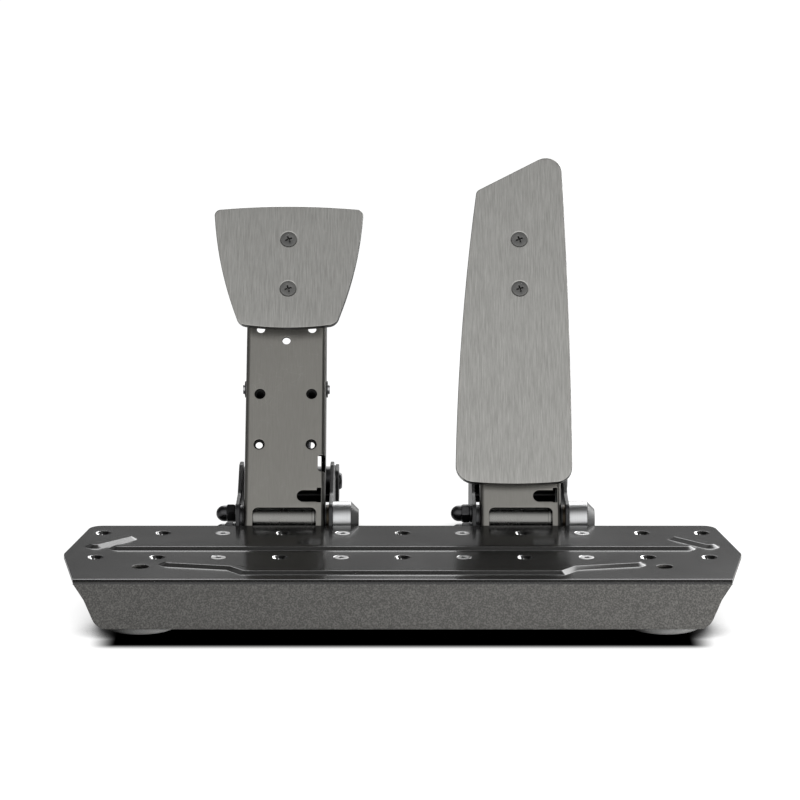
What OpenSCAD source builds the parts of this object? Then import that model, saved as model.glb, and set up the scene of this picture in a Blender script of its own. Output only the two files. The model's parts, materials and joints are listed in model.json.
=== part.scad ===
// Two-pedal set for sim racing: a folded heel plate, two pedal brackets and two sprung pedals.
// Millimetres, +Z up, the driver's side is -Y. The origin is at the middle of the base, on the floor.
// Base parts are drawn from the back hole row of the heel plate: X from the middle of the set,
// Y from that row towards the back, Z from the tread. Pedal parts add the pedal's own X.

/* [Heel plate] */
// Height of the tread above the floor
tread_z = 34.2; // [30:0.1:45]
// Sheet thickness of the heel plate
plate_t = 2.5; // [2:0.1:3.2]
// From the outermost holes to the side of the back edge
side_margin = 8.3; // [6:0.1:12]
// Widening of each side from the back edge to the widest place
side_flare = 10.7; // [6:0.1:14]
// Narrowing of each side from the widest place to the front fold
side_taper = 10.5; // [6:0.1:14]
// From the back hole row to the back edge
heel_back = 17.4; // [15.5:0.1:17.6]
// From the back hole row to the widest place
widest_y = 47.9; // [35:0.1:60]
// From the back hole row to the front face
heel_front = 105.4; // [102:0.2:130]
// Drop of the front skirt below the tread
skirt_drop = 28.4; // [24:0.2:29]
// Narrowing of each side from the front fold to the skirt's lower edge
skirt_low_in = 12.5; // [9:0.1:16]
// Narrowing of each side from the front fold to the bend in the skirt's side
skirt_mid_in = 5.6; // [3:0.1:8]
// Drop to the bend in the side of the skirt
skirt_mid_drop = 11.5; // [9:0.1:14]
// Radius of the lower corners of the skirt
skirt_corner_r = 9; // [4:0.5:12]
// Radius of the back corners
plate_corner_r = 8; // [3:0.5:14]
// Outer radius of the front fold
fold_r = 3.2; // [3.1:0.1:6]

/* [Hole rows] */
// Holes in a row
holes_per_row = 11; // [7:2:11]
// Distance between the two rows
row_gap = 55; // [50:0.5:60]
// Through diameter of the holes
hole_d = 5.3; // [5.2:0.1:5.6]
// Rim diameter of their countersinks
csk_d = 9; // [8.6:0.1:9.6]

/* [Raised ribs] */
// Width of a rib at the sheet
rib_w = 12; // [8:0.5:14]
// Height of a rib
rib_h = 1.6; // [0.8:0.1:2.5]
// Width of a rib's sloped side
rib_slope = 3.6; // [2:0.1:3.9]
// From the outermost holes to the ends of the long rib
rib_long_in = 12; // [10:0.5:40]
// From the back hole row to the long rib
rib_long_y = 35; // [30:0.5:38]
// From the back hole row to the front rib
rib_front_y = 88; // [84:0.5:90]
// Step of the front rib at its ends
rib_front_step = 10; // [6:0.5:12]
// Half length of the front rib's straight run
rib_front_half = 88; // [60:1:90]
// Length of the front rib's step
rib_step_run = 8; // [4:0.5:10]
// Length of the front rib's ends
rib_tail_run = 36; // [20:0.5:37]
// Rise of the front rib's ends
rib_tail_rise = 7; // [4:0.5:8]
// From the widest place to the outer end of a corner rib
corner_rib_margin = 17; // [16:0.5:20]
// Run of a corner rib along the plate
corner_rib_run = 17; // [13:0.5:20]
// From the back hole row to the outer end of a corner rib
corner_rib_front = 31; // [28:0.5:34]
// From the back hole row to the inner end of a corner rib
corner_rib_back = 13.5; // [10:0.5:14]

/* [Feet] */
// From the side of the front fold to a front foot
front_foot_in = 35.5; // [33:0.5:40]
// From the back hole row to the front feet
front_foot_y = 75.5; // [74:0.5:78]
// Diameter of a front foot
front_foot_d = 43; // [36:0.5:46]
// Thickness of a front foot
front_foot_t = 6; // [4:0.2:8]
// Bolt hole through the plate, post and foot
rig_hole_d = 9.2; // [8.4:0.1:9.6]
// Diameter of a foot post
post_d = 16; // [14:0.5:20]
// Flange diameter of a foot post
post_flange_d = 34; // [28:0.5:35]
// Flange thickness of a foot post
post_flange_t = 2; // [1.5:0.1:3]
// Thickness of a pad below a bracket
rear_pad_t = 4; // [3:0.2:4.4]
// Diameter of a pad below a bracket
rear_pad_d = 30; // [24:0.5:36]
// From the back hole row to the rear pads
rear_pad_y = 120; // [110:1:122]
// From the back hole row to the middle pads
mid_pad_y = 34; // [20:1:50]

/* [Brackets] */
// Sheet thickness of a bracket
bracket_t = 2.2; // [2:0.1:2.4]
// From a cheek to the heel screws beside it
screw_off = 6.4; // [6:0.1:7]
// From those screws to the edge of a bracket's flange
flange_edge = 11; // [9:0.5:13]
// From the back hole row to the front end of a bracket
bracket_front = 68; // [64:0.5:72]
// From the back hole row to the back end of a bracket
bracket_back = 158; // [156:0.5:170]
// Height of the hump of a cheek above the tread
hump_z = 23.3; // [18:0.1:24]
// From the back hole row to the hump
hump_y = 80; // [76:0.5:84]
// Height of a cheek's tail above the tread
tail_z = 5.4; // [4:0.1:8]
// From the back hole row to the rear rig bolt
rig_rear_y = 148; // [147.5:0.5:150]
// Diameter of the rear rig bolt hole
rig_rear_d = 8.5; // [8.4:0.1:9]
// Width of the lug plate on a right cheek
lug_w = 24; // [20:0.5:26]
// Height of the lug plate
lug_h = 22; // [20:0.5:22.5]
// Thickness of the lug plate
lug_t = 2; // [1.5:0.1:2.5]

/* [Pivot] */
// From the back hole row to the pivot
pivot_y = 34.3; // [34:0.1:38]
// Height of the pivot above the tread
pivot_z = -0.9; // [-1.5:0.1:0]
// Diameter of the axle
axle_d = 10; // [8:0.1:10.4]
// Radial clearance of a running fit
run_fit = 0.05; // [0.02:0.01:0.09]
// Gap between faces that slide
face_gap = 0.05; // [0.03:0.01:0.1]
// Thickness of a thrust washer
thrust_t = 0.9; // [0.6:0.1:1.4]
// Outer diameter of the sleeve in the arm
sleeve_d = 18; // [15:0.1:18.1]
// Outer diameter of the bearing spigots
spigot_d = 13.2; // [12.8:0.1:13.4]
// Flange thickness of the bearings
bearing_t = 1.4; // [1.1:0.1:1.5]
// Distance between the two studs of a bearing flange
stud_pitch = 20.9; // [20.4:0.1:22]
// Tilt of the line between the studs
stud_tilt = 17; // [10:1:25]
// Drop of the studs below the axle
stud_drop = 1.6; // [1:0.1:2]
// Diameter of the studs
stud_d = 6; // [5:0.1:6]
// Width across flats of the dome nuts
dome_af = 10; // [9.6:0.1:10]
// Dome diameter of the dome nuts
dome_d = 9.4; // [8:0.1:9.6]
// Hexagon height of the dome nuts
dome_hex_h = 5; // [4:0.1:6]
// Full height of the dome nuts
dome_h = 11.4; // [10:0.1:12]
// Washer thickness
washer_t = 1.2; // [0.8:0.1:1.6]
// Washer diameter
washer_d = 11; // [10.4:0.1:12]

/* [Pedal arm] */
// Lean of an arm back from upright
arm_lean = 35; // [33:0.5:36]
// Outer width of an arm
arm_w = 48; // [47.8:0.1:48.4]
// Sheet thickness of an arm
arm_t = 2.5; // [2:0.1:2.6]
// Outer radius of an arm's bends
arm_bend_r = 3; // [2.8:0.1:4]
// From the pivot to the front of an arm
arm_front = 11.6; // [11.4:0.1:12]
// Length of an arm above the pivot
arm_top = 176; // [174:0.5:181]
// Length of an arm below the pivot
arm_toe = 11; // [10:0.1:11.2]
// Depth of an arm's flanges behind the pivot line at the cross pin
arm_back = 16; // [12:0.5:20]
// Hole columns of an arm, in from its sides
arm_hole_in = 8.5; // [8:0.1:10]
// Diameter of the upper holes of an arm
arm_hole_d = 5; // [4.5:0.1:6]
// Rim diameter of the lower holes of an arm
arm_rim_d = 6.4; // [6:0.1:7]
// Depth of that rim
arm_rim_h = 1.2; // [0.8:0.1:1.8]
// Inner diameter of the lower holes of an arm
arm_bore_d = 4.2; // [3.4:0.1:5]
// Height of the lowest hole pair on an arm
arm_row_1 = 43.8; // [42:0.1:46]
// Height of the second hole pair on an arm
arm_row_2 = 76.4; // [72:0.1:80]
// Height of the third hole pair on an arm
arm_row_3 = 118.9; // [116:0.1:121]
// Height of the single hole on an arm
arm_row_mid = 111.4; // [108:0.1:112]
// Top of the window over the sleeve
window_top = 3.5; // [2:0.1:5]
// From an arm's side to the window over the sleeve
window_in = 5.3; // [5:0.1:7]
// Lower edge of the cross slot
slot_low = 7.3; // [7:0.1:8]
// Height of the cross slot
slot_h = 7.2; // [5:0.1:8]
// From the centre line to the round end of the cross slot
slot_x = 7.4; // [4:0.1:10]
// Height of the middle of the bend notch
notch_mid = 31.8; // [30:0.1:34]
// Length of the bend notch
notch_h = 10.4; // [8:0.1:12]
// Reach of the bend notch into the face
notch_x = 3; // [2:0.1:5]

/* [Cross pin and strut] */
// Height of the cross pin on the arm
pin_up = 84.5; // [82:0.5:86]
// Distance of the cross pin behind the pivot line
pin_back = 0.8; // [0:0.1:1.2]
// Diameter of the cross pin
pin_d = 6; // [5:0.1:6.2]
// Reach of the cross pin outside an arm
pin_out = 2.2; // [1.6:0.1:3]
// Radial play of the rod eye on the cross pin
eye_play = 0.6; // [0.45:0.05:0.8]
// Diameter of the rod eye
eye_d = 16; // [14:0.2:16.4]
// Width of the rod eye
eye_w = 14; // [12:0.2:16]
// Diameter of the spacers beside the eye
spacer_d = 14; // [12:0.2:15]
// From the back hole row to the trunnion
trunnion_y = 135; // [134:0.5:136]
// Height of the trunnion above the tread
trunnion_z = -1.6; // [-2:0.1:-1]
// Diameter of the trunnion barrel
barrel_d = 18; // [16:0.2:18]
// Reach of the trunnion's tail below the bolt
tail_reach = 15; // [10:0.5:16]
// Thickness of the trunnion's tail
tail_t = 10; // [8:0.2:12]
// Diameter of the trunnion bolt
bolt_d = 7.9; // [7.5:0.1:8]
// Diameter of the strut rod
rod_d = 10; // [8:0.1:10]
// Length of the rod's end away from the trunnion
rod_end = 27.4; // [27:0.1:30]
// Outer diameter of the guide tube
tube_d = 14; // [13.4:0.1:14.4]
// Height of the guide tube above the trunnion
tube_top = 41; // [38:0.2:42]
// Height of the spring seat above the trunnion
seat_z = 12; // [11:0.1:13]
// Thickness of the spring seat
seat_t = 3; // [2:0.1:3]
// Diameter of the spring seat
seat_d = 29; // [28:0.2:30]
// Height of the preload nut above the trunnion
nut_z = 66; // [65.8:0.1:66.5]
// Height of the preload nut
nut_h = 7; // [5:0.2:8]
// Gap between a spring and its seats
spring_gap = 0.3; // [0.2:0.05:0.5]
// Length of the throttle's rubber stop
throttle_stop_h = 3; // [2:0.1:3]
// Length of the brake's rubber stop
brake_stop_h = 10.4; // [8:0.1:10.4]

/* [Springs] */
// Wire diameter of the brake spring
brake_wire = 4.2; // [3.5:0.1:4.6]
// Mean diameter of the brake spring
brake_coil_d = 23.8; // [23:0.1:24.2]
// Curls of the brake spring
brake_curls = 6.5; // [4:0.5:8]
// Wire diameter of the throttle spring
throttle_wire = 2.6; // [1.8:0.1:3]
// Mean diameter of the throttle spring
throttle_coil_d = 20.4; // [19.6:0.1:22]
// Curls of the throttle spring
throttle_curls = 8.5; // [6:0.5:10]
// Gap between the closed curl at a spring's end and the next
closed_gap = 0.7; // [0.5:0.1:1.2]

/* [Rest stop] */
// Gap between an arm and its rest bumper
rest_gap = 0.3; // [0.2:0.05:0.4]
// Thickness of a rest bumper
bumper_t = 3; // [2:0.1:3.4]
// Height of the stop bar
bar_h = 8; // [6:0.1:8.4]
// Depth of the stop bar
bar_w = 9.5; // [8:0.1:9.8]
// Diameter of the stop bar screws
bar_screw_d = 4; // [3:0.1:4]
// Depth of the threaded holes in the stop bar
bar_bore = 9; // [7:0.5:12]
// Head diameter of the stop bar screws
bar_head_d = 7; // [6:0.1:7.6]
// Head height of the stop bar screws
bar_head_h = 2.4; // [2:0.1:3]

/* [Pads] */
// Lean of a pad back from upright
pad_lean = 33; // [32.4:0.1:34.5]
// Thickness of a pad
pad_t = 4; // [3:0.1:4.6]
// Height of the lower pad screw along the arm
pad_up = 141.1; // [140:0.1:142]
// From the pivot line to the front of a pad at that screw
pad_out = 22; // [21.5:0.1:25]
// Distance between the two pad screws
pad_screw_gap = 32.3; // [30:0.1:33]
// Offset of the pad screws from the pedal's centre line
pad_shift = 0.9; // [0:0.1:1.2]
// Diameter of a pad screw's head
pad_head_d = 9.6; // [9:0.1:10]
// Width of the brake pad at its top
brake_pad_top_w = 92.4; // [84:0.2:96]
// Width of the brake pad at its bottom
brake_pad_low_w = 59.6; // [56:0.2:66]
// Height of the brake pad above its lower screw
brake_pad_up = 52; // [46:0.5:56]
// Depth of the brake pad below its lower screw
brake_pad_down = 24; // [20:0.5:26]
// Height of the throttle pad's left shoulder above its lower screw
throttle_pad_up = 64.2; // [56:0.2:68]
// Rise from the left shoulder to the right corner of the throttle pad
throttle_pad_rise = 28.6; // [20:0.2:32]
// Depth of the throttle pad below its lower screw
throttle_pad_down = 124; // [110:0.5:125]
// Left edge of the throttle pad at its bottom
throttle_pad_left = 40.3; // [34:0.1:44]
// Right edge of the throttle pad at its bottom
throttle_pad_right = 29.9; // [28:0.1:36]
// Left edge of the throttle pad at its shoulder
throttle_pad_top_left = 25.9; // [22:0.1:32]
// Right edge of the throttle pad at its top
throttle_pad_top_right = 26.2; // [24:0.5:32]
// Width of a pad mount
mount_w = 42; // [40:0.5:44]
// Lower end of a pad mount along the arm
mount_low = 130; // [128:0.5:131]
// Upper end of a pad mount along the arm
mount_high = 182; // [180:0.5:184]
// Height of the lower bolt pair of a pad mount
mount_row_1 = 147; // [145:0.5:150]
// Height of the upper bolt pair of a pad mount
mount_row_2 = 167; // [162:0.5:168]

/* [Sensors] */
// Outer diameter of a sensor housing
sensor_d = 22; // [21:0.2:23]
// Length of a sensor housing
sensor_len = 10.8; // [10.6:0.1:12]
// Length of the bevelled cap
cap_len = 4.6; // [3:0.1:5]
// Bore of a sensor housing
sensor_bore = 15; // [14.8:0.1:16]
// Diameter of a sensor magnet
magnet_d = 6; // [4:0.1:6]
// Thickness of a sensor magnet
magnet_t = 2.5; // [1.5:0.1:3]
// Thickness of a sensor board
board_t = 1.2; // [0.8:0.1:1.6]

/* [Control box] */
// Gap between the control box and a bracket
box_gap = 4.4; // [3:0.1:9]
// Width of the port for the computer's lead
port_w = 9.2; // [8.8:0.1:10]
// Height of that port
port_h = 3.6; // [3.2:0.1:4]
// Length of the port and of the sockets on the board
port_l = 8; // [7.6:0.1:9]
// Width of the board's processor
chip_w = 12; // [8:0.5:14]
// Depth of the board's processor
chip_d = 9; // [6:0.5:12]
// Head diameter of the control box's screws
box_head_d = 5.6; // [5:0.1:6]
// Depth of the control box
box_d = 37; // [30:0.5:38]
// Height of the control box
box_h = 18; // [14:0.5:22]
// Wall of the control box
box_wall = 2; // [1.5:0.1:2.4]
// Diameter of a corner boss of the control box
boss_d = 8; // [7:0.1:9]
// From the middle of the control box to a pedal's socket
socket_x = 18; // [16:0.5:20]
// Diameter of a pedal's socket
socket_d = 6; // [5.6:0.1:6.4]

/* [Hidden] */
$fn = 64;
brake = -1;
throttle = 1;
over = 1;                                        // overlap of a cutting tool
row_y = heel_front - (heel_front + bracket_back) / 2;
under = -plate_t;                                // underside of the tread sheet
flange_z = under - bracket_t;                    // underside of a bracket's flanges
bracket_low = rear_pad_t - tread_z;              // underside of a bracket's floor
arm_x = arm_w / 2;
cheek_in = arm_x + bearing_t + thrust_t + 2 * face_gap;
cheek_out = cheek_in + bracket_t;
hole_pitch = cheek_out + screw_off;              // heel screws stand one pitch beside a pedal
pedal_x = 2 * hole_pitch;                        // a pedal stands on the second hole
row_half = (holes_per_row - 1) / 2;
plate_back_w = 2 * (row_half * hole_pitch + side_margin);
plate_w = plate_back_w + 2 * side_flare;
plate_front_w = plate_w - 2 * side_taper;
front_foot_x = plate_front_w / 2 - front_foot_in;
rib_long = row_half * hole_pitch - rib_long_in;
corner_rib_x = plate_w / 2 - corner_rib_margin;
flange_w = 2 * (hole_pitch + flange_edge);
box_w = 2 * (pedal_x - cheek_out - box_gap);
window_w = arm_w - 2 * window_in;
pin_half = arm_x + pin_out;
heel_screw_d = 5;
heel_nut_af = 8;
heel_nut_h = 5;
clear = 0.15;                                    // radial clearance of a bolt in its hole
head_fit = 0.5;                                  // rim of a countersink over its screw's head
pin_y = pivot_y + pin_up * sin(arm_lean) + pin_back * cos(arm_lean);
pin_z = pivot_z + pin_up * cos(arm_lean) - pin_back * sin(arm_lean);
strut_tilt = atan2(trunnion_y - pin_y, pin_z - trunnion_z);
strut_len = norm([trunnion_y - pin_y, pin_z - trunnion_z]);
sensor_x = cheek_out;                            // inner face of a sensor housing
ledge_x = sensor_x + sensor_len - 4.4;           // seat of a sensor board
ledge_d = sensor_bore + 3;
axle_left = cheek_out - 0.8 - 0.2;               // the left bearing is closed by a thin wall
axle_right = ledge_x - 1;
ear_r = 4;
ear_reach = sensor_d / 2 + ear_r + 0.5;
ear_turns = [0, -110];
ear_t = 2;
m3 = 3;

// Points of a corner of radius r at b, between a and c
function unit(v) = v / norm(v);
function turn_to(a, b) = let (d = b - a) d > 180 ? d - 360 : d < -180 ? d + 360 : d;
function corner(a, b, c, r, n) = r <= 0 ? [b] : let (
    u = unit(a - b), v = unit(c - b), half = acos(u * v) / 2,
    mid = b + unit(u + v) * r / sin(half),
    from = b + u * r / tan(half), to = b + v * r / tan(half),
    a0 = atan2(from.y - mid.y, from.x - mid.x), a1 = atan2(to.y - mid.y, to.x - mid.x))
    [for (i = [0:n]) let (t = a0 + turn_to(a0, a1) * i / n) mid + r * [cos(t), sin(t)]];

// Points between two ends of an edge that swells outwards by s in the middle
function swell(a, b, s, n) = s == 0 ? [] : let (d = unit(b - a), out = [d.y, -d.x])
    [for (i = [1:n - 1]) let (f = i / n) a + (b - a) * f + out * 4 * s * f * (1 - f)];

// An outline with rounded corners: rows of [x, y, corner radius, swell of the edge after it]
function outline(rows, n = 6) = let (
    k = len(rows), p = [for (q = rows) [q.x, q.y]],
    c = [for (i = [0:k - 1]) corner(p[(i + k - 1) % k], p[i], p[(i + 1) % k], rows[i][2], n)])
    [for (i = [0:k - 1]) each concat(c[i],
        swell(c[i][len(c[i]) - 1], c[(i + 1) % k][0], len(rows[i]) > 3 ? rows[i][3] : 0, 10))];

// The same rows and their mirror images, so that an outline is even about the second axis
function mirrored(rows) = concat(rows, [for (i = [len(rows) - 1:-1:0]) let (q = rows[i])
    [-q.x, q.y, q[2], 0]]);

// Frames
module base() translate([0, row_y, tread_z]) children();
module pedal(side) base() translate([side * pedal_x, 0, 0]) children();
module both() for (side = [brake, throttle]) pedal(side) children();
module at_pivot() translate([0, pivot_y, pivot_z]) children();
module on_arm() at_pivot() rotate([-arm_lean, 0, 0]) children();
module on_pad() on_arm() translate([pad_shift, -pad_out, pad_up])
    rotate([arm_lean - pad_lean, 0, 0]) children();
module on_strut() translate([0, trunnion_y, trunnion_z]) rotate([strut_tilt, 0, 0]) children();
module at_pin() translate([0, pin_y, pin_z]) children();

// Extrusions: a side outline along X, a front outline towards -Y
module across(x0, x1) translate([x0, 0, 0]) rotate([90, 0, 90]) linear_extrude(x1 - x0) children();
module forward(y0, y1) translate([0, y1, 0]) rotate([90, 0, 0]) linear_extrude(y1 - y0) children();
module rod_x(x0, x1, d) translate([x0, 0, 0]) rotate([0, 90, 0]) cylinder(h = x1 - x0, d = d);
module rod_y(y0, y1, d) translate([0, y0, 0]) rotate([-90, 0, 0]) cylinder(h = y1 - y0, d = d);
module ring_x(x0, x1, d, bore) difference() {
    rod_x(x0, x1, d);
    rod_x(x0 - over, x1 + over, bore);
}

// A raised rib along a path, with sloped sides and round ends
rib_cap = 8;
function left_of(d) = [-d.y, d.x];
function rib_side(path, e) = let (k = len(path)) [for (i = [0:k - 1]) let (
    n1 = left_of(unit(path[max(i, 1)] - path[max(i, 1) - 1])),
    n2 = left_of(unit(path[min(i + 1, k - 1)] - path[min(i + 1, k - 1) - 1])),
    m = unit(n1 + n2)) path[i] + m * e / (m * n1)];
function rib_end(p, from, e) = [for (i = [1:rib_cap - 1]) let (t = from - 180 * i / rib_cap)
    p + e * [cos(t), sin(t)]];
function heading(a, b) = atan2(b.y - a.y, b.x - a.x);
function rib_ring(path, e) = let (k = len(path), s = rib_side(path, e), r = rib_side(path, -e))
    concat([for (i = [0:k - 1]) r[i]],
        [for (i = [rib_cap - 2:-1:0])
            rib_end(path[k - 1], heading(path[k - 2], path[k - 1]) + 90, e)[i]],
        [for (i = [k - 1:-1:0]) s[i]],
        [for (i = [rib_cap - 2:-1:0]) rib_end(path[0], heading(path[0], path[1]) - 90, e)[i]]);
function rib_flats(k) = let (c = rib_cap - 1, m = 2 * (k + c)) concat(
    [for (i = [0:k - 2]) [i, i + 1, 2 * k + c - 2 - i, 2 * k + c - 1 - i]],
    [[for (i = [k - 1:k + c]) i]], [[for (i = [2 * k + c - 1:m]) i % m]]);
module rib(path) {
    rings = [[-plate_t / 3, rib_w / 2], [0, rib_w / 2], [rib_h, rib_w / 2 - rib_slope]];
    m = len(rib_ring(path, 1));
    flats = rib_flats(len(path));
    polyhedron(
        points = [for (r = rings) each [for (q = rib_ring(path, r[1])) [q.x, q.y, r[0]]]],
        faces = concat(flats, [for (f = flats) [for (i = [len(f) - 1:-1:0]) 2 * m + f[i]]],
            [for (r = [0:1]) each [for (i = [0:m - 1])
                [r * m + i, (r + 1) * m + i, (r + 1) * m + (i + 1) % m, r * m + (i + 1) % m]]]));
}

// Hexagon across flats
module hex(af, h) cylinder(h = h, d = af / cos(30), $fn = 6);

// A countersunk cut from z = 0 downwards
module countersink(d, rim, depth) {
    translate([0, 0, -depth - over]) cylinder(h = depth + 2 * over, d = d);
    translate([0, 0, -(rim - d) / 2]) cylinder(h = (rim - d) / 2 + 0.01, d1 = d, d2 = rim + 0.02);
}

// A countersunk screw, head flush at z = 0, shank downwards
module flush_screw(d, head, length) {
    translate([0, 0, -length]) cylinder(h = length - 0.2, d = d);
    translate([0, 0, -(head - d) / 2 - 0.2]) cylinder(h = (head - d) / 2, d1 = d, d2 = head);
    translate([0, 0, -0.2]) cylinder(h = 0.15, d = head);
}

// Heel plate: tread and skirt from one folded sheet, with raised ribs and two hole rows
front_low = -heel_front;
module heel_section() polygon(outline([[heel_back, 0, 0], [front_low, 0, fold_r],
    [front_low, -skirt_drop, 0], [front_low + plate_t, -skirt_drop, 0],
    [front_low + plate_t, under, fold_r - plate_t], [heel_back, under, 0]]));
module heel_plan() polygon(outline(mirrored([[plate_front_w / 2, front_low - over, 0],
    [plate_front_w / 2, front_low, 0], [plate_w / 2, -widest_y, plate_corner_r * 2],
    [plate_back_w / 2, heel_back, plate_corner_r]])));
module skirt_front() polygon(outline(mirrored([
    [plate_front_w / 2 - skirt_low_in, -skirt_drop, skirt_corner_r],
    [plate_front_w / 2 - skirt_mid_in, -skirt_mid_drop, 0],
    [plate_front_w / 2, under, 0], [plate_w, under, 0],
    [plate_w, over, 0]])));
module heel_plate() color("#3a3a3a") base() {
    difference() {
        union() {
            intersection() {
                across(-plate_w / 2, plate_w / 2) heel_section();
                translate([0, 0, -skirt_drop - over])
                    linear_extrude(skirt_drop + 2 * over) heel_plan();
                forward(front_low - over, heel_back + over) skirt_front();
            }
            rib([[-rib_long, -rib_long_y], [rib_long, -rib_long_y]]);
            rib(front_rib());
            for (side = [-1, 1]) rib([[side * corner_rib_x, -corner_rib_front],
                [side * (corner_rib_x - corner_rib_run), -corner_rib_back]]);
        }
        for (i = [-row_half:row_half], row = [0, 1])
            translate([i * hole_pitch, -row * row_gap, 0]) countersink(hole_d, csk_d, plate_t);
        for (side = [-1, 1]) translate([side * front_foot_x, -front_foot_y, -over - plate_t])
            cylinder(h = plate_t + 2 * over, d = rig_hole_d);
    }
}
function front_rib() = let (h = rib_front_half, y = -rib_front_y, s = y + rib_front_step,
    m = h + rib_step_run, e = m + rib_tail_run, r = s + rib_tail_rise)
    [[-e, r], [-m, s], [-h, y], [h, y], [m, s], [e, r]];

// Screws and nuts that hold the brackets under the heel plate
module heel_screw_places() both() for (x = [-hole_pitch, hole_pitch], y = [0, -row_gap])
    translate([x, y, 0]) children();
module heel_screws() color("#8a8a8a") heel_screw_places() difference() {
    flush_screw(heel_screw_d, csk_d - head_fit, plate_t + bracket_t + heel_nut_h + 1);
    translate([0, 0, -2.2]) hex(3, 3);
}
module heel_nuts() color("#9a9a9a") heel_screw_places() translate([0, 0, flange_z - heel_nut_h])
    difference() {
        union() {
            hex(heel_nut_af, heel_nut_h);
            translate([0, 0, heel_nut_h - 1]) cylinder(h = 1, d = heel_nut_af * 1.3);
        }
        translate([0, 0, -over]) cylinder(h = heel_nut_h + 2 * over, d = heel_screw_d + 2 * run_fit);
    }

// Front feet: a hollow post with a flange, and a rubber ring pressed on its lower end
foot_top = front_foot_t - tread_z;
post_low = foot_top - front_foot_t / 2;
module front_places() base() for (side = [-1, 1])
    translate([side * front_foot_x, -front_foot_y, 0]) children();
module foot_posts() color("#55585c") front_places() difference() {
    union() {
        translate([0, 0, post_low]) cylinder(h = under - post_low, d = post_d);
        translate([0, 0, foot_top]) cylinder(h = post_flange_t, d = post_flange_d);
    }
    translate([0, 0, post_low - over]) cylinder(h = under - post_low + 2 * over, d = rig_hole_d);
}
module front_feet() color("#1b1b1b") front_places() difference() {
    translate([0, 0, -tread_z]) rotate_extrude() polygon(outline([[0, 0, 0],
        [front_foot_d / 2 - 1, 0, 0], [front_foot_d / 2, 1, 0],
        [front_foot_d / 2, front_foot_t, 0], [0, front_foot_t, 0]]));
    translate([0, 0, post_low]) cylinder(h = front_foot_t, d = post_d);
    translate([0, 0, -tread_z - over]) cylinder(h = front_foot_t, d = rig_hole_d + 2);
}
module rear_feet() color("#1b1b1b") both() for (y = [mid_pad_y, rear_pad_y])
    translate([0, y, -tread_z]) cylinder(h = rear_pad_t, d = rear_pad_d);

// Control box, hung from the inner flanges of the two brackets
box_y = -row_gap / 2;
box_top = flange_z;
box_screw_x = box_w / 2 - boss_d / 2 - 1.5;
box_screw_y = box_d / 2 - boss_d / 2 - 1.5;
box_floor = box_top - box_h;
lid_t = 1.6;
module box_corners() for (x = [-1, 1], y = [-1, 1])
    translate([x * box_screw_x, box_y + y * box_screw_y, 0]) children();
module box_block(w, d, r, z0, z1) translate([0, box_y, z0]) linear_extrude(z1 - z0)
    polygon(outline([[-w / 2, -d / 2, r], [w / 2, -d / 2, r], [w / 2, d / 2, r],
        [-w / 2, d / 2, r]]));
port_z = box_floor + box_wall + 5.4;
module control_case() color("#222426") base() difference() {
    union() {
        difference() {
            box_block(box_w, box_d, 4, box_floor, box_top);
            box_block(box_w - 2 * box_wall, box_d - 2 * box_wall, 2, box_floor + box_wall,
                box_top + over);
        }
        box_corners() translate([0, 0, box_floor]) cylinder(h = box_h, d = boss_d);
    }
    box_corners() translate([0, 0, box_floor - over]) cylinder(h = box_h + 2 * over, d = m3 + 0.4);
    box_corners() translate([0, 0, box_floor - over]) cylinder(h = over + 2.5, d = box_head_d + 0.8);
    translate([-port_w / 2, box_y + box_d / 2 - box_wall - over, port_z - port_h / 2])
        cube([port_w, box_wall + 2 * over, port_h]);
    for (x = [-socket_x, socket_x]) translate([x, box_y + box_d / 2 + over, port_z])
        rotate([90, 0, 0]) cylinder(h = box_wall + 2 * over, d = socket_d + 0.2);
}
module control_lid() color("#2a2d30") base() difference() {
    box_block(box_w - 2 * box_wall - 0.4, box_d - 2 * box_wall - 0.4, 1.8, box_top - lid_t, box_top);
    box_corners() translate([0, 0, box_top - lid_t - over]) cylinder(h = lid_t + 2 * over, d = boss_d + 0.4);
}
module control_board() color("#1f5a34") base() {
    top = port_z - 2;
    difference() {
        box_block(box_w - 2 * box_wall - 1, box_d - 2 * box_wall - 1, 1, top - 1.6, top);
        box_corners() translate([0, 0, top - 3]) cylinder(h = 4, d = boss_d + 0.6);
    }
    for (x = [-socket_x - 4, socket_x + 4]) translate([x, box_y, box_floor + box_wall])
        cylinder(h = top - 1.6 - box_floor - box_wall, d = 5);
    translate([-chip_w / 2, box_y - chip_d * 2 / 3, top]) cube([chip_w, chip_d, 1.4]);
    translate([0, box_y + box_d / 2 - box_wall - port_l, port_z]) difference() {
        translate([0.2 - port_w / 2, 0, -2]) cube([port_w - 0.4, port_l - 0.4, port_h + 0.1]);
        translate([0.8 - port_w / 2, 1, -1.4]) cube([port_w - 1.6, port_l, port_h - 1.1]);
    }
    for (x = [-socket_x, socket_x]) translate([x, box_y + box_d / 2 - box_wall - port_l, port_z])
    difference() {
        union() {
            translate([-4, 0, -2]) cube([8, port_l - 0.8, 5]);
            translate([0, port_l - 0.8, 0]) rotate([-90, 0, 0])
                cylinder(h = box_wall + 0.8, d = socket_d);
        }
        translate([0, 1.5, 0]) rotate([-90, 0, 0]) cylinder(h = 12, d = 3.6);
    }
}
module control_screws() color("#777777") base() box_corners() {
    translate([0, 0, box_floor + 2.5]) cylinder(h = box_h - 2.8 + bracket_t, d = m3);
    translate([0, 0, box_floor + 0.7]) cylinder(h = 1.8, d = box_head_d);
}

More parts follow.
